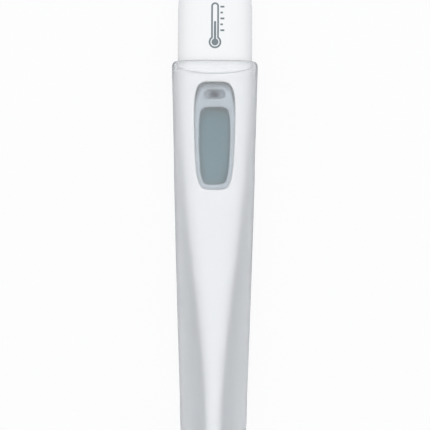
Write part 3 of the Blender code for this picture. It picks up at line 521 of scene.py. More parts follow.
def board_laminate(name):
    """Green solder mask over copper tracks."""
    made = Finish(name)
    lines = made.noise(330.0, detail=0.0, roughness=0.0, density=(1.0, 0.45, 1.0))
    between = made.rise(abs(lines - 0.5), 0.018, 0.03)
    weave = made.noise(2600.0, detail=2.0, roughness=0.5)
    mask = made.blend(weave, (0.008, 0.075, 0.030), (0.014, 0.11, 0.045))
    shader = made.principled(
        base_color=made.blend(between, (0.035, 0.17, 0.06), mask),
        roughness=0.32 + weave * 0.1,
        normal=made.bump(1 - between, 12 * MICRON),
    )
    return made.done(shader)


def layered_rubber(name):
    """Conductive rubber strip: thin dark layers between pale ones."""
    made = Finish(name)
    radians_per_metre = 40000.0
    layer = made.rise((made.along("Y") * radians_per_metre).sine(), -0.2, 0.2)
    tone = made.blend(layer, (0.02, 0.02, 0.022), (0.35, 0.12, 0.10))
    return made.done(made.principled(base_color=tone, roughness=0.7 + layer * 0.1))


def cast_resin(name, base, roughness=0.3):
    """Resin, glass or ceramic with a slow swirl in its colour, gloss and level."""
    made = Finish(name)
    swirl = made.noise(1500.0, detail=3.0, roughness=0.6)
    shader = made.principled(
        base_color=made.blend(swirl, shaded(base, 0.75), shaded(base, 1.25)),
        roughness=roughness + swirl * 0.15,
        normal=made.bump(swirl, 8 * MICRON),
    )
    return made.done(shader)


def pale_floor(name, base):
    """A pale light table: it glows a little, and the camera sees it washed out."""
    made = Finish(name)
    white = (1.0, 1.0, 1.0)
    washed_out = 0.9
    mottle = made.noise(9.0, detail=4.0, roughness=0.5)
    tone = made.blend(mottle, shaded(base, 0.985), base)
    matt = made.principled(
        base_color=tone,
        roughness=0.75 + mottle * 0.05,
        emission_color=tone,
        emission_strength=0.6,
    )
    lit = made.add("ShaderNodeEmission", values={"Color": white, "Strength": 1.0})
    seen = made.add("ShaderNodeLightPath", output="Is Camera Ray")
    return made.done(made.mix(seen * washed_out, matt, lit))


# ---------- modelling by operators ----------

# A section of a piece: its place along the axis, its half-sizes, its centre, its superellipse
# exponent, and how far its sides climb along the axis.
Ring = collections.namedtuple(
    "Ring", "place across deep centre power climb", defaults=(AXIS_Z, 2.0, 0.0)
)


def leave_edit():
    if bpy.context.mode != "OBJECT":
        bpy.ops.object.mode_set(mode="OBJECT")


def select_nothing():
    leave_edit()
    bpy.ops.object.select_all(action="DESELECT")


def only(piece):
    select_nothing()
    piece.select_set(True)
    bpy.context.view_layer.objects.active = piece


def edit_all(piece):
    """Opens the piece in edit mode with all of it selected."""
    only(piece)
    bpy.ops.object.mode_set(mode="EDIT")
    bpy.ops.mesh.select_all(action="SELECT")


def settle():
    """Moves the active object's place, turn and size into its mesh."""
    leave_edit()
    bpy.ops.object.transform_apply(location=True, rotation=True, scale=True)


def face_outwards():
    bpy.ops.mesh.select_all(action="SELECT")
    bpy.ops.mesh.normals_make_consistent(inside=False)


def radius_at(angle, power):
    """Distance from the centre to a unit superellipse at this angle."""
    total = abs(math.cos(angle)) ** power + abs(math.sin(angle)) ** power
    return total ** (-1 / power)


class Lathe:
    """Draws a tube ring by ring in edit mode: extrude, move, resize, square up, bend."""

    def __init__(self, name, axis, points, across_centre=0.0):
        self.name = name
        self.axis = axis
        self.points = points
        self.pitch = 2 * math.pi / points
        self.across_centre = across_centre

    def centre(self, one):
        if self.axis == "Y":
            return Vector((self.across_centre, one.place, one.centre))
        return Vector((self.across_centre, one.centre, one.place))

    def flat(self, across, deep):
        return (across, 1.0, deep) if self.axis == "Y" else (across, deep, 1.0)

    def resize(self, one, across, deep):
        bpy.ops.transform.resize(value=self.flat(across, deep), center_override=self.centre(one))

    def ring_points(self, first=False):
        """The open mesh, and the points of its newest ring or of its first one."""
        mesh = bmesh.from_edit_mesh(self.piece.data)
        mesh.verts.ensure_lookup_table()
        return mesh, mesh.verts[: self.points] if first else mesh.verts[-self.points :]

    def groups(self, one, key):
        """The newest ring's points, grouped by a key worked out from their angle."""
        mesh, points = self.ring_points()
        middle = self.centre(one)
        found = collections.defaultdict(set)
        for point in points:
            away = point.co - middle
            deep = away.z if self.axis == "Y" else away.y
            angle = math.atan2(deep / one.deep, away.x / one.across)
            found[key(angle)].add(point.index)
        return found

    def pick(self, indices):
        """Selects these of the newest ring's points and no others."""
        mesh, points = self.ring_points()
        for point in points:
            point.select_set(point.index in indices)
        mesh.select_flush(False)
        bmesh.update_edit_mesh(self.piece.data)

    def pick_ring(self, first=False):
        """Selects the newest ring or the first one, with its edges."""
        bpy.ops.mesh.select_all(action="DESELECT")
        mesh, points = self.ring_points(first)
        for point in points:
            point.select_set(True)
        mesh.select_flush(True)
        bmesh.update_edit_mesh(self.piece.data)

    def steps_from_side(self, angle):
        """Points between this angle and the nearer end of the X axis."""
        step = round(abs(angle) / self.pitch)
        return min(step, self.points // 2 - step)

    def square_up(self, one, before):
        """Turns the section from one superellipse into another, one group of points at a time."""

        def steps_from_axis(angle):
            step = self.steps_from_side(angle)
            return min(step, self.points // 4 - step)

        for step, indices in self.groups(one, steps_from_axis).items():
            angle = self.pitch * step
            factor = radius_at(angle, one.power) / radius_at(angle, before)
            if abs(factor - 1) > SAME:
                self.pick(indices)
                self.resize(one, factor, factor)
        self.pick_ring()

    def bend(self, one, change):
        """Moves the ring's points along the axis by a share that grows towards its sides."""
        for step, indices in self.groups(one, self.steps_from_side).items():
            angle = self.pitch * step
            reach = math.cos(angle) * radius_at(angle, one.power)
            move = change * abs(reach) ** 3
            if abs(move) > SAME * MM:
                self.pick(indices)
                shift = (0, move, 0) if self.axis == "Y" else (0, 0, move)
                bpy.ops.transform.translate(value=shift)
        self.pick_ring()

    def start(self, one):
        select_nothing()
        turn = (math.pi / 2, 0, 0) if self.axis == "Y" else (0, 0, 0)
        bpy.ops.mesh.primitive_circle_add(
            vertices=self.points, radius=1.0, location=self.centre(one), rotation=turn
        )
        self.piece = bpy.context.active_object
        self.piece.name = self.name
        settle()
        bpy.ops.object.mode_set(mode="EDIT")
        bpy.ops.mesh.select_mode(type="VERT")
        bpy.ops.mesh.select_all(action="SELECT")
        self.resize(one, one.across, one.deep)
        if one.power != 2.0:
            self.square_up(one, 2.0)
        if one.climb:
            self.bend(one, one.climb)
        self.current = one

    def extend(self, one):
        before = self.current
        move = self.centre(one) - self.centre(before)
        bpy.ops.mesh.extrude_region_move(TRANSFORM_OT_translate={"value": move})
        self.resize(one, one.across / before.across, one.deep / before.deep)
        if abs(one.power - before.power) > SAME_POWER:
            self.square_up(one, before.power)
        if abs(one.climb - before.climb) > SAME * MM:
            self.bend(one, one.climb - before.climb)
        self.current = one

    def close(self, joined):
        """Caps both ends, or joins the last ring to the first."""
        if joined:
            bpy.ops.mesh.select_all(action="DESELECT")
            bpy.ops.mesh.select_non_manifold()
            bpy.ops.mesh.bridge_edge_loops()
        else:
            for first in (True, False):
                self.pick_ring(first)
                bpy.ops.mesh.edge_face_add()
        face_outwards()


def draw_rings(name, rings, axis="Y", points=96, joined=False, across_centre=0.0):
    lathe = Lathe(name, axis, points, across_centre)
    lathe.start(rings[0])
    for one in rings[1:]:
        lathe.extend(one)
    lathe.close(joined)
    leave_edit()
    return lathe.piece


def apply_modifier(piece, kind, **settings):
    only(piece)
    modifier = piece.modifiers.new(kind.title(), kind)
    for key, setting in settings.items():
        setattr(modifier, key, setting)
    bpy.ops.object.modifier_apply(modifier=modifier.name)


def combine(piece, other, operation="DIFFERENCE"):
    """A Boolean with another piece, which is used up."""
    apply_modifier(piece, "BOOLEAN", object=other, operation=operation, solver="EXACT")
    bpy.data.objects.remove(other, do_unlink=True)


def soften(piece, width, segments=2, angle=35.0):
    """Breaks the piece's edges that turn by more than the angle."""
    apply_modifier(
        piece,
        "BEVEL",
        width=width,
        segments=segments,
        limit_method="ANGLE",
        angle_limit=math.radians(angle),
        harden_normals=False,
        miter_outer="MITER_ARC",
    )


def finished(piece, material, body, node=None, angle=35.0):
    """Shades the piece, gives it its finish, parents it to the empty of what it rides on, and hides
    the node it stands for.
    """
    only(piece)
    bpy.ops.object.shade_smooth_by_angle(angle=math.radians(angle))
    piece.data.materials.clear()
    piece.data.materials.append(material)
    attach(piece, body)
    if node:
        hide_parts(node)


def dressed_copies(body, *rows, angle=35.0):
    """Finished copies of CAD nodes, their triangles merged and their edges broken.

    Each row holds the node, the piece's name, the broken edge's width and the material.
    """
    for node, name, width, material in rows:
        piece = bpy.data.objects.new(name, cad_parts[node].data.copy())
        bpy.context.scene.collection.objects.link(piece)
        edit_all(piece)
        bpy.ops.mesh.remove_doubles(threshold=1e-6)
        bpy.ops.mesh.dissolve_limited(angle_limit=math.radians(0.5))
        leave_edit()
        if width:
            soften(piece, width)
        finished(piece, material, body, node, angle=angle)


def panel_prism(name, centre_y, size, low_z, high_z, grow=0.0):
    """A prism on the panel's squarish oval, which narrows a little towards the tip."""
    power = bpy.context.scene.thermometer_panel.squareness
    start = Ring(low_z, size[0] / 2 + grow, size[1] / 2 + grow, centre_y, power)
    lathe = Lathe(name, "Z", 96)
    lathe.start(start)

    def towards_tip(angle):
        """How far a point lies from the middle towards the tip, from -1 to 1."""
        return round(-math.sin(angle) * radius_at(angle, power), 5)

    for share, indices in lathe.groups(start, towards_tip).items():
        narrowing = 1 - NARROWING * share - ROUNDING_OFF * share**2
        lathe.pick(indices)
        lathe.resize(start, narrowing, 1)
    lathe.pick_ring()
    bpy.ops.mesh.edge_face_add()
    bpy.ops.mesh.extrude_region_move(TRANSFORM_OT_translate={"value": (0, 0, high_z - low_z)})
    face_outwards()
    leave_edit()
    return lathe.piece


def pill_prism(name, centre_y, width, height, low_z, high_z, points=48):
    """A prism on a pill: a round one whose right and left halves are moved apart."""
    select_nothing()
    bpy.ops.mesh.primitive_circle_add(
        vertices=points, radius=height / 2, location=(0, centre_y, low_z), fill_type="NGON"
    )
    piece = bpy.context.active_object
    piece.name = name
    settle()
    bpy.ops.object.mode_set(mode="EDIT")
    for side in (1, -1):
        mesh = bmesh.from_edit_mesh(piece.data)
        for vert in mesh.verts:
            vert.select_set(side * vert.co.x > 0.1 * MICRON)
        mesh.select_flush(False)
        bmesh.update_edit_mesh(piece.data)
        bpy.ops.transform.translate(value=(side * (width - height) / 2, 0, 0))
    bpy.ops.mesh.select_all(action="SELECT")
    bpy.ops.mesh.extrude_region_move(TRANSFORM_OT_translate={"value": (0, 0, high_z - low_z)})
    face_outwards()
    leave_edit()
    return piece


def turned_piece(name, profile, centre, points=64):
    """A piece turned about Z through its centre, from (radius, level) pairs, ends closed."""
    rings = [Ring(level, radius, radius, centre.y) for radius, level in profile]
    return draw_rings(name, rings, "Z", points, across_centre=centre.x)


def arc_profile(radius, height, base, steps, start=0.0):
    """Quarter of an oval as (radius, level) pairs, from its widest level to almost its top."""
    almost = 88.0
    pairs = []
    for step in range(steps + 1):
        angle = math.radians(start + (almost - start) * step / steps)
        pairs.append((radius * math.cos(angle), base + height * math.sin(angle)))
    return pairs


def round_wire(name, points, radius):
    """A wire as a curve through its points."""
    curve = bpy.data.curves.new(name, "CURVE")
    curve.dimensions = "3D"
    curve.bevel_depth = radius
    curve.bevel_resolution = 3
    curve.use_fill_caps = True
    spline = curve.splines.new("POLY")
    spline.points.add(len(points) - 1)
    for point, place in zip(spline.points, points):
        point.co = (*place, 1.0)
    piece = bpy.data.objects.new(name, curve)
    bpy.context.scene.collection.objects.link(piece)
    only(piece)
    bpy.ops.object.convert(target="MESH")
    return bpy.context.active_object


# ---------- sections of the body and of the case ----------


def spread(first, last, count):
    return [first + (last - first) * step / (count - 1) for step in range(count)]


def end_places(end, reach, count):
    """Places along a rounded end, closer together towards the end."""
    almost = math.radians(88.5)
    places = []
    for step in range(count):
        angle = almost * (step + 1) / count
        places.append(end - math.copysign(reach, end) * (1 - math.sin(angle)))
    return places


def rounding(reach, span, power):
    """Share of the full size that is left this far into a rounded end."""
    share = min(max(reach / span, 0.0), 1.0)
    return max(1 - share**power, 1e-6) ** (1 / power)


def body_ring(y, inset=0.0, front_inset=0.0, climb=0.0):
    """The body's section at y, shrunk all round by the inset."""
    sizes = bpy.context.scene.thermometer_body
    shaft_y = TIP_Y + sizes.shaft_end
    waist_y = REAR_Y - sizes.straight - sizes.waist
    if y >= waist_y:
        share = max(REAR_Y - sizes.straight - y, 0.0) / sizes.waist
        across = FULL_WIDTH - sizes.waist_drop * share**2
    else:
        share = min((waist_y - y) / (waist_y - shaft_y), 1.0)
        left = (1 - share) ** sizes.taper_power * (1 + share)
        across = sizes.shaft + (FULL_WIDTH - sizes.waist_drop - sizes.shaft) * left
    depth_y = REAR_Y - sizes.depth_start
    share = min(max(depth_y - y, 0.0) / (depth_y - shaft_y), 1.0)
    left = (1 - share**2) ** 2
    deep = sizes.shaft + (FULL_DEPTH - sizes.shaft) * left
    power = 2.0 + (sizes.squareness - 2.0) * left
    past = y - REAR_Y + inset
    end_power = sizes.round_power
    wide, thick = sizes.round_wide, sizes.round_deep
    across = (across - inset) * rounding(past + wide, wide, end_power)
    deep = (deep - inset) * rounding(past + thick, thick, end_power)
    lowered = front_inset / 2
    return Ring(y, across, deep - lowered, AXIS_Z - lowered, power, climb)


def case_ring(y, inset=0.0, shrink=0.0):
    """The case's section at y. Its bottom runs below the resting surface, to be cut flat."""
    sizes = bpy.context.scene.thermometer_case
    body = bpy.context.scene.thermometer_body
    straight_y = CASE_END_Y + sizes.round_wide
    share = min((MOUTH_Y - y) / (MOUTH_Y - straight_y), 1.0)
    across = CASE_HIGH.x + (sizes.end_width / 2 - CASE_HIGH.x) * share
    near_mouth = share < 0.3
    bow = sizes.bulge * (0.4 if near_mouth else 1.0)
    across += bow * 4 * share * (1 - share)
    depth_y = REAR_Y - body.depth_start
    full = (CASE_HIGH.z + sizes.land_sink) / 2
    share = min(max(depth_y - y, 0.0) / (depth_y - straight_y), 1.0)
    deep = full + (sizes.end_depth / 2 - full) * share
    centre = deep - sizes.land_sink
    before = CASE_END_Y + (sizes.end_wall if inset else 0.0) - y
    end_power = sizes.end_squareness
    wide, thick = sizes.round_wide, sizes.round_deep
    across = (across - inset) * rounding(before + wide, wide, end_power)
    deep = (deep - inset) * rounding(before + thick, thick, end_power)
    return Ring(y, across - shrink, deep - shrink, centre, body.squareness)


def body_core(name, inset):
    """The body's own shape over the panel, shrunk, which trims the panel's pieces to its curve."""
    margin = 1.0 * MM
    places = spread(PANEL_LOW.y - margin, PANEL_HIGH.y + margin, count=12)
    return draw_rings(name, [body_ring(y, inset=inset) for y in places])


def round_box(node):
    """A round node's centre, radius, lowest level and highest level."""
    low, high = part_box(node)
    return (low + high) / 2, (high.x - low.x) / 2, low.z, high.z


def panel_floor():
    """Underside of the panel's plate, above the skirt that hangs from it."""
    return AXIS_Z + FULL_DEPTH - bpy.context.scene.thermometer_panel.sink


def view_size():
    panel = bpy.context.scene.thermometer_panel
    return panel.view_width, panel.view_length


def button_hole(name):
    """What is cut away for the button, its gap included."""
    panel = bpy.context.scene.thermometer_panel
    wide = panel.button_width + 2 * panel.button_gap
    high = panel.button_height + 2 * panel.button_gap
    return pill_prism(name, BUTTON_Y, wide, high, AXIS_Z, ABOVE)


# ---------- operators, one for each piece or group of like pieces ----------


class THERMOMETER_OT_storage_case(bpy.types.Operator):
    """Frosted slip-on case with a rounded lip and a flat land on its back"""

    bl_idname = "thermometer.storage_case"
    bl_label = "Storage case"

    def execute(self, context):
        sizes = context.scene.thermometer_case
        colours = context.scene.thermometer_finishes
        points = context.scene.thermometer_stage.samples_round
        straight_y = CASE_END_Y + sizes.round_wide
        inner_end = CASE_END_Y + sizes.end_wall
        lip_y = MOUTH_Y - sizes.lip_length
        rings = [case_ring(y) for y in reversed(end_places(CASE_END_Y, sizes.round_wide, count=16))]
        rings += [case_ring(y) for y in spread(straight_y, lip_y, count=22)]
        for degrees in (15, 30, 45, 60, 75, 88):
            angle = math.radians(degrees)
            along = sizes.lip_length * math.sin(angle)
            inward = sizes.lip_depth * (1 - math.cos(angle))
            rings.append(case_ring(lip_y + along, shrink=inward))
        rings.append(case_ring(MOUTH_Y, shrink=sizes.lip_depth))
        inner = spread(MOUTH_Y, inner_end + sizes.round_wide, count=22)
        inner += end_places(inner_end, sizes.round_wide, count=14)
        rings += [case_ring(y, inset=sizes.wall) for y in inner]
        case = draw_rings("frosted_case", rings, points=points)
        soften(case, 0.12 * MM, angle=50)
        edit_all(case)
        bpy.ops.mesh.bisect(
            plane_co=(0, 0, 0),
            plane_no=(0, 0, -1),
            use_fill=True,
            clear_outer=True,
            threshold=0.1 * MICRON,
        )
        leave_edit()
        material = frosted_plastic("frosted_polypropylene", colours.case)
        finished(case, material, "case_body", "storage_case", angle=25)
        return {"FINISHED"}


class THERMOMETER_OT_main_housing(bpy.types.Operator):
    """White body with its panel pocket, view and button openings, neck and probe"""

    bl_idname = "thermometer.main_housing"
    bl_label = "Main housing"

    def execute(self, context):
        sizes = context.scene.thermometer_body
        panel = context.scene.thermometer_panel
        colours = context.scene.thermometer_finishes
        points = context.scene.thermometer_stage.samples_round
        shaft_y = TIP_Y + sizes.shaft_end
        waist_y = REAR_Y - sizes.straight - sizes.waist
        rise = sizes.seam_rise
        shoulder = SEAM_Y - sizes.seam_gap
        bevel_y = shoulder - sizes.seam_bevel
        neck_y = SEAM_Y + sizes.neck
        neck_inset = sizes.cover_wall + sizes.neck_gap
        bore_inset = neck_inset + sizes.neck_wall
        cavity_y = TIP_Y + sizes.cavity_start
        front_y = HOUSING_LOW.y
        spigot_end = front_y + sizes.spigot
        extra = sizes.front_wall - sizes.wall
        bore_step = 0.1 * MM
        rings = [
            Ring(front_y, sizes.spigot_radius, sizes.spigot_radius),
            Ring(spigot_end, sizes.spigot_radius, sizes.spigot_radius),
            body_ring(spigot_end),
        ]
        rings += [body_ring(y) for y in spread(shaft_y, waist_y, count=26)]
        rings += [body_ring(y) for y in spread(waist_y, bevel_y - rise, count=9)[1:]]
        rings += [
            body_ring(bevel_y, climb=rise),
            body_ring(shoulder, inset=sizes.seam_bevel_depth, climb=rise),
            body_ring(shoulder, inset=neck_inset, climb=rise),
            body_ring(neck_y, inset=neck_inset),
            body_ring(neck_y, inset=bore_inset),
            body_ring(SEAM_Y, inset=bore_inset),
        ]
        rings += [
            body_ring(y, inset=sizes.wall, front_inset=extra)
            for y in spread(SEAM_Y - sizes.neck_wall, cavity_y, count=18)
        ]
        rings.append(Ring(cavity_y - bore_step, sizes.bore, sizes.bore))
        rings.append(Ring(front_y, sizes.bore, sizes.bore))
        housing = draw_rings("housing_shell", rings, points=points, joined=True)
        pocket_floor = panel_floor() - panel.lift
        skirt_room = panel.skirt + panel.skirt_gap
        combine(
            housing, panel_prism("pocket", PANEL_Y, PANEL_SIZE, pocket_floor, ABOVE, panel.gap)
        )
        combine(housing, panel_prism("view_hole", VIEW_Y, view_size(), AXIS_Z, ABOVE, skirt_room))
        combine(housing, button_hole("button_hole"))
        soften(housing, 0.05 * MM, angle=40)
        material = moulded_plastic(
            "glossy_white_body", colours.white, roughness=0.24, variation=0.012, coat=0.4
        )
        finished(housing, material, "thermometer_body", "main_housing", angle=30)
        return {"FINISHED"}


class THERMOMETER_OT_battery_cover(bpy.types.Operator):
    """Bare glossy rear end with its curved seam"""

    bl_idname = "thermometer.battery_cover"
    bl_label = "Battery cover"

    def execute(self, context):
        sizes = context.scene.thermometer_body
        colours = context.scene.thermometer_finishes
        points = context.scene.thermometer_stage.samples_round
        rise = sizes.seam_rise
        wall = sizes.cover_wall
        first = SEAM_Y + 2 * rise
        inner_end = REAR_Y - wall
        inner = spread(first, inner_end - sizes.round_wide, count=4)
        inner += end_places(inner_end, sizes.round_wide, count=9)
        rings = [body_ring(y, inset=wall) for y in reversed(inner)]
        rings.append(body_ring(SEAM_Y, inset=wall, climb=rise))
        rings.append(body_ring(SEAM_Y, climb=rise))
        rings.append(body_ring(SEAM_Y + 0.4 * MM, climb=rise * 0.9))
        outer = spread(first, REAR_Y - sizes.round_wide, count=6)
        outer += end_places(REAR_Y, sizes.round_wide, count=20)
        rings += [body_ring(y) for y in outer]
        cover = draw_rings("cover_shell", rings, points=points)
        soften(cover, 0.12 * MM, segments=3, angle=40)
        # Painted light: a lighter white for the part of the cover inside the case, standing in for
        # the light the case lets through.
        painted_light_white = shaded(colours.white, 1.08)
        material = cover_with_painted_light("glossy_white_cover", colours.cover, painted_light_white)
        finished(cover, material, "battery_cover_body", "battery_cover", angle=30)
        return {"FINISHED"}


class THERMOMETER_OT_printed_sign(bpy.types.Operator):
    """Generic thermometer sign printed along the battery cover"""

    bl_idname = "thermometer.printed_sign"
    bl_label = "Printed sign"

    low = AXIS_Z + FULL_DEPTH - 0.02 * MM
    high = AXIS_Z + FULL_DEPTH + 0.012 * MM
    bulb_y = MOUTH_Y + 4.6 * MM
    bulb = 1.6 * MM
    stem = 2.0 * MM
    stem_length = 9.6 * MM
    line = 0.45 * MM
    column_inset = 0.72 * MM
    column_length = 5.2 * MM
    ticks = 5
    first_tick = 3.0 * MM
    tick_pitch = 1.5 * MM
    tick_gap = 0.35 * MM
    tick_lengths = (1.0 * MM, 0.65 * MM)

    def outline(self, name, inset, length):
        """A bulb with a stem that ends round, drawn in all round by the inset."""
        radius = self.bulb - inset
        middle = Vector((0, self.bulb_y, 0))
        disc = turned_piece(name, ((radius, self.low), (radius, self.high)), middle)
        width = self.stem - 2 * inset
        tube = pill_prism("sign_stem", 0.0, length + width / 2, width, self.low, self.high, 32)
        edit_all(tube)
        bpy.ops.transform.rotate(value=math.pi / 2, orient_axis="Z", center_override=(0, 0, 0))
        bpy.ops.transform.translate(value=(0, self.bulb_y + length / 2, 0))
        leave_edit()
        combine(disc, tube, "UNION")
        return disc

    def tick(self, y, long):
        place = (self.stem / 2 + self.tick_gap + long / 2, y, (self.low + self.high) / 2)
        select_nothing()
        bpy.ops.mesh.primitive_cube_add(size=1.0, location=place)
        piece = bpy.context.active_object
        bpy.ops.object.mode_set(mode="EDIT")
        bpy.ops.transform.resize(value=(long, self.line, self.high - self.low))
        bpy.ops.mesh.bevel(
            offset=self.line * 0.45, segments=4, affect="EDGES", clamp_overlap=True
        )
        settle()
        return piece

    def execute(self, context):
        colours = context.scene.thermometer_finishes
        sign = self.outline("printed_sign", 0.0, self.stem_length)
        hollow = self.outline("sign_hollow", self.line, self.stem_length - self.line / 2)
        edit_all(hollow)
        middle = (0, self.bulb_y, (self.low + self.high) / 2)
        bpy.ops.transform.resize(value=(1, 1, 4), center_override=middle)
        leave_edit()
        combine(sign, hollow)
        column = self.outline("sign_column", self.column_inset, self.column_length)
        combine(sign, column, "UNION")
        for step in range(self.ticks):
            y = self.bulb_y + self.first_tick + self.tick_pitch * step
            combine(sign, self.tick(y, self.tick_lengths[step % 2]), "UNION")
        material = moulded_plastic("grey_print", colours.print, roughness=0.45, variation=0.05)
        finished(sign, material, "battery_cover_body", angle=30)
        return {"FINISHED"}


class THERMOMETER_OT_display_panel(bpy.types.Operator):
    """Grey panel round the view and the button, and the clear window in it"""

    bl_idname = "thermometer.display_panel"
    bl_label = "Display panel"

    def execute(self, context):
        panel = context.scene.thermometer_panel
        colours = context.scene.thermometer_finishes
        floor_z = panel_floor()
        overlap = 0.1 * MM
        plate = panel_prism("display_bezel", PANEL_Y, PANEL_SIZE, floor_z, ABOVE)
        combine(plate, body_core("plate_trim", panel.recess), "INTERSECT")
        skirt = panel_prism(
            "skirt", VIEW_Y, view_size(), PANEL_LOW.z, floor_z + overlap, panel.skirt
        )
        combine(plate, skirt, "UNION")
        combine(plate, panel_prism("view_cut", VIEW_Y, view_size(), AXIS_Z, ABOVE))
        combine(plate, button_hole("button_cut"))
        soften(plate, 0.07 * MM, angle=45)
        grey = panel_with_painted_shade("satin_grey_panel", colours.panel)
        finished(plate, grey, "thermometer_body", "display_frame", angle=30)
        window = panel_prism(
            "view_window", VIEW_Y, view_size(), WINDOW_LOW.z, ABOVE, -panel.window_gap
        )
        combine(window, body_core("window_trim", panel.window_recess), "INTERSECT")
        soften(window, 0.06 * MM, angle=45)
        clear = clear_plastic("clear_window", (0.93, 0.965, 0.975))
        finished(window, clear, "thermometer_body", "display_window", angle=30)
        return {"FINISHED"}


class THERMOMETER_OT_power_button(bpy.types.Operator):
    """Pill-shaped button with painted shade in its dish, a flange and a stem"""

    bl_idname = "thermometer.power_button"
    bl_label = "Power button"

    def execute(self, context):
        body = context.scene.thermometer_body
        panel = context.scene.thermometer_panel
        colours = context.scene.thermometer_finishes
        wide, high, dish = panel.button_width, panel.button_height, panel.dish
        top = BUTTON_HIGH.z
        flange_top = AXIS_Z + FULL_DEPTH - body.front_wall - panel.flange_gap
        flange_low = flange_top - panel.flange
        cap = pill_prism("button_cap", BUTTON_Y, wide, high, flange_low, top)
        radius = (high**2 / 4 + dish**2) / (2 * dish)
        select_nothing()
        bpy.ops.mesh.primitive_uv_sphere_add(
            segments=96, ring_count=64, radius=radius, location=(0, BUTTON_Y, top + radius - dish)
        )
        hollow = bpy.context.active_object
        bpy.ops.object.mode_set(mode="EDIT")
        bpy.ops.transform.resize(value=(wide / high, 1, 1))
        settle()
        combine(cap, hollow)
        size = BUTTON_HIGH - BUTTON_LOW
        flange = pill_prism("button_flange", BUTTON_Y, size.x, size.y, flange_low, flange_top)
        combine(cap, flange, "UNION")
        profile = ((panel.stem, BUTTON_LOW.z), (panel.stem, flange_top))
        stem = turned_piece("button_stem", profile, Vector((0, BUTTON_Y, 0)), points=48)
        combine(cap, stem, "UNION")
        soften(cap, 0.06 * MM, angle=40)
        material = button_with_painted_dish_shade("dished_button", colours.panel, colours.button)
        finished(cap, material, "power_button_body", "power_button", angle=30)
        return {"FINISHED"}


class THERMOMETER_OT_display_stack(bpy.types.Operator):
    """Display film, glass, backing, holder and the two rubber strips"""

    bl_idname = "thermometer.display_stack"
    bl_label = "Display"

    def execute(self, context):
        colours = context.scene.thermometer_finishes
        film = display_film("idle_display", colours.film)
        glass = clear_plastic("display_glass", (0.86, 0.93, 0.90))
        backing = cast_resin("backing_film", (0.6, 0.62, 0.6))
        holder = moulded_plastic(
            "pale_holder", (0.62, 0.63, 0.62), roughness=0.5, variation=0.04
        )
        rubber = layered_rubber("layered_rubber")
        dressed_copies(
            "thermometer_body",
            ("lcd_polarizer", "display_film", 0.03 * MM, film),
            ("lcd_glass", "display_glass", 0.05 * MM, glass),
            ("lcd_backing", "display_backing", 0.03 * MM, backing),
            ("lcd_holder", "display_holder", 0.1 * MM, holder),
            ("zebra_strip_left", "rubber_strip_left", 0.06 * MM, rubber),
            ("zebra_strip_right", "rubber_strip_right", 0.06 * MM, rubber),
        )
        return {"FINISHED"}


class THERMOMETER_OT_circuit(bpy.types.Operator):
    """Circuit board with its chips, resin blob and snap dome"""

    bl_idname = "thermometer.circuit"
    bl_label = "Circuit board"

    def execute(self, context):
        body = "thermometer_body"
        mask = board_laminate("solder_mask")
        black = cast_resin("resistor_black", (0.02, 0.02, 0.024))
        tan = cast_resin("capacitor_tan", (0.42, 0.27, 0.15))
        dressed_copies(
            body,
            ("circuit_board", "green_board", 0.06 * MM, mask),
            ("reference_resistor", "chip_resistor", 0.04 * MM, black),
            ("filter_capacitor", "chip_capacitor", 0.04 * MM, tan),
        )
        middle, radius, low, high = round_box("ic_blob")
        profile = [(radius * 0.97, high)] + arc_profile(radius, low - high, high, steps=10, start=6)
        blob = turned_piece("resin_blob", profile, middle)
        resin = cast_resin("black_resin", (0.012, 0.012, 0.013), roughness=0.25)
        finished(blob, resin, body, "ic_blob")
        middle, radius, low, high = round_box("switch_dome")
        sheet = 0.15 * MM
        profile = arc_profile(radius - sheet, high - low - sheet, low, steps=8)[::-1]
        profile += arc_profile(radius, high - low, low, steps=8)
        dome = turned_piece("snap_dome", profile, middle, points=48)
        steel = worked_metal("dome_steel", (0.62, 0.62, 0.60), roughness=0.25)
        finished(dome, steel, body, "switch_dome")
        return {"FINISHED"}


class THERMOMETER_OT_inner_frame(bpy.types.Operator):
    """Moulded frame that carries the board and the cell"""

    bl_idname = "thermometer.inner_frame"
    bl_label = "Inner frame"

    def execute(self, context):
        natural = moulded_plastic(
            "natural_frame", (0.68, 0.68, 0.65), roughness=0.48, variation=0.05
        )
        row = ("inner_frame", "cell_and_board_frame", 0.08 * MM, natural)
        dressed_copies("thermometer_body", row, angle=30)
        return {"FINISHED"}


class THERMOMETER_OT_battery(bpy.types.Operator):
    """Button cell and its two contact strips"""

    bl_idname = "thermometer.battery"
    bl_label = "Battery"

    def execute(self, context):
        body = "thermometer_body"
        middle, radius, low, high = round_box("button_cell")
        step = 0.35 * MM
        groove = 0.1 * MM
        pole = radius * POLE
        profile = (
            (pole, low),
            (radius - 2 * step, low),
            (radius - 2 * step, low + step),
            (radius - 1.6 * step, low + step * 0.9),
            (radius - step / 2, low + step),
            (radius, low + 1.5 * step),
            (radius, high - step / 2),
            (radius - step / 2, high),
            (radius * 0.55, high),
            (radius * 0.53, high - groove),
            (radius * 0.51, high - groove),
            (radius * 0.49, high),
            (pole, high),
        )
        cell = turned_piece("cell_can", profile, middle, points=96)
        soften(cell, 0.07 * MM, segments=3, angle=25)
        nickel = worked_metal("nickel_can", (0.66, 0.67, 0.68), roughness=0.22)
        finished(cell, nickel, body, "button_cell")
        strip = worked_metal(
            "spring_strip", (0.60, 0.58, 0.52), roughness=0.3, density=(1.0, 8.0, 1.0)
        )
        dressed_copies(
            body,
            ("battery_contact_negative", "negative_strip", 0.04 * MM, strip),
            ("battery_contact_positive", "positive_strip", 0.04 * MM, strip),
        )
        return {"FINISHED"}


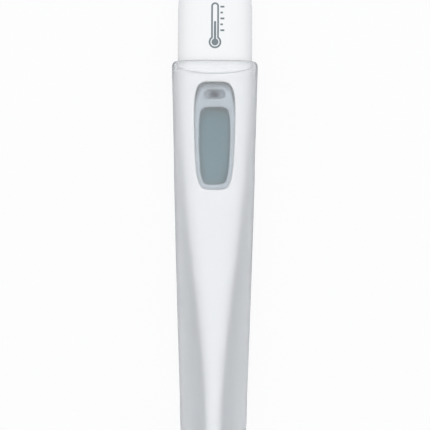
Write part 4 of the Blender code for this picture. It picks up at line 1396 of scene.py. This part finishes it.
class THERMOMETER_OT_sounder(bpy.types.Operator):
    """Brass sounder disc with its ceramic and two coil springs"""

    bl_idname = "thermometer.sounder"
    bl_label = "Sounder"

    wire_radius = 0.14 * MM
    turns = 3
    points_per_turn = 32

    def disc(self, node, name, material):
        """A thin disc with its rims broken."""
        middle, radius, low, high = round_box(node)
        rim = 0.04 * MM
        profile = (
            (radius * POLE, low),
            (radius - rim, low),
            (radius, low + rim),
            (radius, high - rim),
            (radius - rim, high),
            (radius * POLE, high),
        )
        disc = turned_piece(name, profile, middle, points=96)
        finished(disc, material, "thermometer_body", node)

    def spring(self, node, name, material):
        """A coil that stands on the sounder and reaches the board."""
        low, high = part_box(node)
        middle = (low + high) / 2
        radius = (high.y - low.y) / 2 - self.wire_radius
        rise = high.z - low.z - 2 * self.wire_radius
        steps = self.turns * self.points_per_turn
        points = []
        for step in range(steps + 1):
            angle = 2 * math.pi * step / self.points_per_turn
            x = middle.x + radius * math.cos(angle)
            y = middle.y + radius * math.sin(angle)
            points.append((x, y, low.z + self.wire_radius + rise * step / steps))
        wire = round_wire(name, points, self.wire_radius)
        finished(wire, material, "thermometer_body", node)

    def execute(self, context):
        brass = worked_metal(
            "rolled_brass", (0.62, 0.45, 0.18), roughness=0.3, density=(1.0, 10.0, 1.0)
        )
        silvered = cast_resin("silvered_ceramic", (0.62, 0.61, 0.57))
        self.disc("sounder_plate", "brass_disc", brass)
        self.disc("sounder_ceramic", "ceramic_disc", silvered)
        steel = worked_metal("spring_wire", (0.6, 0.6, 0.58), roughness=0.25)
        self.spring("sounder_spring_plate", "coil_spring_plate", steel)
        self.spring("sounder_spring_ceramic", "coil_spring_ceramic", steel)
        return {"FINISHED"}


class THERMOMETER_OT_probe(bpy.types.Operator):
    """Steel tip, thermistor with its two leads, and potting"""

    bl_idname = "thermometer.probe"
    bl_label = "Probe"

    def dome(self, radius, centre_y):
        """Rings from the dome's pole to its rim."""
        steps = 12
        rings = []
        for step in range(1, steps + 1):
            angle = math.radians(90 * step / steps)
            size = radius * math.sin(angle)
            rings.append(Ring(centre_y - radius * math.cos(angle), size, size))
        return rings

    def bead(self, node, name, material):
        """An egg-shaped bead as long as its node."""
        low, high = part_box(node)
        middle = (low + high) / 2
        half, wide = (high.y - low.y) / 2, (high.x - low.x) / 2
        steps = 24
        rings = []
        for step in range(1, steps):
            angle = math.pi * step / steps
            size = wide * math.sin(angle)
            rings.append(Ring(middle.y - half * math.cos(angle), size, size))
        finished(draw_rings(name, rings, points=36), material, "thermometer_body", node)

    def execute(self, context):
        body = "thermometer_body"
        radius = TIP_HIGH.x
        inner = radius - 0.2 * MM
        rings = self.dome(inner, TIP_Y + radius)
        rings += [Ring(TIP_HIGH.y, inner, inner), Ring(TIP_HIGH.y, radius, radius)]
        rings += self.dome(radius, TIP_Y + radius)[::-1]
        tip = draw_rings("steel_tip", rings, points=72)
        soften(tip, 0.04 * MM, angle=50)
        steel = worked_metal(
            "polished_steel", (0.70, 0.70, 0.70), roughness=0.16, density=(1.0, 14.0, 1.0)
        )
        finished(tip, steel, body, "probe_tip")
        glass = cast_resin("bead_glass", (0.09, 0.04, 0.025), roughness=0.12)
        self.bead("thermistor", "thermistor_bead", glass)
        epoxy = cast_resin("brown_epoxy", (0.22, 0.10, 0.045))
        dressed_copies(body, ("tip_potting", "potting_plug", 0.05 * MM, epoxy))
        tinned = worked_metal("tinned_wire", (0.62, 0.61, 0.58), roughness=0.3)
        dressed_copies(
            body,
            ("thermistor_lead_left", "tinned_lead_left", 0.0, tinned),
            ("thermistor_lead_right", "tinned_lead_right", 0.0, tinned),
            angle=60,
        )
        return {"FINISHED"}


class THERMOMETER_OT_stage(bpy.types.Operator):
    """Pale floor, soft light and the camera over the object"""

    bl_idname = "thermometer.stage"
    bl_label = "Stage"

    def execute(self, context):
        stage = context.scene.thermometer_stage
        colours = context.scene.thermometer_finishes
        self.floor(stage, colours.floor)
        context.scene.world = self.soft_room(stage)
        self.softbox(stage)
        context.scene.camera = self.camera(stage)
        context.scene.view_settings.view_transform = "Standard"
        return {"FINISHED"}

    def floor(self, stage, shade):
        select_nothing()
        bpy.ops.mesh.primitive_plane_add(size=3.0, location=(0, 0, -stage.floor_gap))
        floor = bpy.context.active_object
        floor.name = "pale_floor"
        bpy.ops.object.mode_set(mode="EDIT")
        bpy.ops.mesh.subdivide(number_cuts=4)
        leave_edit()
        floor.data.materials.append(pale_floor("pale_floor", shade))

    def soft_room(self, stage):
        """Light from all round, strongest from above and a little stronger from the rear."""
        room = Finish("soft_room", bpy.data.worlds.new("soft_room"))
        way = room.add("ShaderNodeTexCoord", output="Generated")
        up = room.add("ShaderNodeSeparateXYZ", values={0: way}, output="Z")
        rear = room.add("ShaderNodeSeparateXYZ", values={0: way}, output="Y")
        strength = stage.world + room.rise(up, -0.1, 1.1) * stage.overhead
        strength = strength * (1 + rear * stage.rear_share)
        values = {"Color": (1.0, 1.0, 1.0), "Strength": strength}
        light = room.add("ShaderNodeBackground", values=values)
        return room.done(light, "ShaderNodeOutputWorld")

    def softbox(self, stage):
        data = bpy.data.lights.new("rear_softbox", "AREA")
        data.shape = "DISK"
        data.size = stage.key_size
        data.energy = stage.key
        lamp = bpy.data.objects.new("rear_softbox", data)
        bpy.context.scene.collection.objects.link(lamp)
        lamp.location = (0, stage.key_reach, stage.key_reach)
        lamp.rotation_euler = (-lamp.location).to_track_quat("-Z", "Y").to_euler()

    def camera(self, stage):
        data = bpy.data.cameras.new("camera")
        data.lens = stage.lens
        data.clip_start = 0.01
        camera = bpy.data.objects.new("camera", data)
        bpy.context.scene.collection.objects.link(camera)
        camera.location = (stage.aim_x, stage.aim_y, AXIS_Z + stage.distance)
        camera.rotation_euler = (0.0, 0.0, stage.roll)
        return camera


OPERATORS = (
    THERMOMETER_OT_stage,
    THERMOMETER_OT_storage_case,
    THERMOMETER_OT_main_housing,
    THERMOMETER_OT_battery_cover,
    THERMOMETER_OT_printed_sign,
    THERMOMETER_OT_display_panel,
    THERMOMETER_OT_power_button,
    THERMOMETER_OT_display_stack,
    THERMOMETER_OT_circuit,
    THERMOMETER_OT_inner_frame,
    THERMOMETER_OT_battery,
    THERMOMETER_OT_sounder,
    THERMOMETER_OT_probe,
)


class THERMOMETER_PT_sidebar(bpy.types.Panel):
    """Lists the thermometer's pieces and settings"""

    bl_idname = "THERMOMETER_PT_sidebar"
    bl_label = "Thermometer"
    bl_space_type = "VIEW_3D"
    bl_region_type = "UI"
    bl_category = "Thermometer"

    def draw(self, context):
        layout = self.layout
        for operator in OPERATORS:
            layout.operator(operator.bl_idname)
        for group in SETTINGS:
            settings = getattr(context.scene, group)
            box = layout.box()
            box.label(text=group.replace("_", " ").capitalize())
            for key in settings.__annotations__:
                box.prop(settings, key)


SETTINGS = {
    "thermometer_body": ThermometerBodySizes,
    "thermometer_case": StorageCaseSizes,
    "thermometer_panel": ThermometerPanelSizes,
    "thermometer_finishes": ThermometerFinishes,
    "thermometer_stage": ThermometerStage,
}


def register():
    for group, settings in SETTINGS.items():
        bpy.utils.register_class(settings)
        setattr(bpy.types.Scene, group, PointerProperty(type=settings))
    for operator in OPERATORS:
        bpy.utils.register_class(operator)
    bpy.utils.register_class(THERMOMETER_PT_sidebar)


def unregister():
    bpy.utils.unregister_class(THERMOMETER_PT_sidebar)
    for operator in reversed(OPERATORS):
        bpy.utils.unregister_class(operator)
    for group, settings in SETTINGS.items():
        delattr(bpy.types.Scene, group)
        bpy.utils.unregister_class(settings)


def main():
    register()
    bpy.ops.thermometer.stage()
    bpy.ops.thermometer.storage_case()
    bpy.ops.thermometer.main_housing()
    bpy.ops.thermometer.battery_cover()
    bpy.ops.thermometer.printed_sign()
    bpy.ops.thermometer.display_panel()
    bpy.ops.thermometer.power_button()
    bpy.ops.thermometer.display_stack()
    bpy.ops.thermometer.circuit()
    bpy.ops.thermometer.inner_frame()
    bpy.ops.thermometer.battery()
    bpy.ops.thermometer.sounder()
    bpy.ops.thermometer.probe()
    select_nothing()


if __name__ == "__main__":
    main()
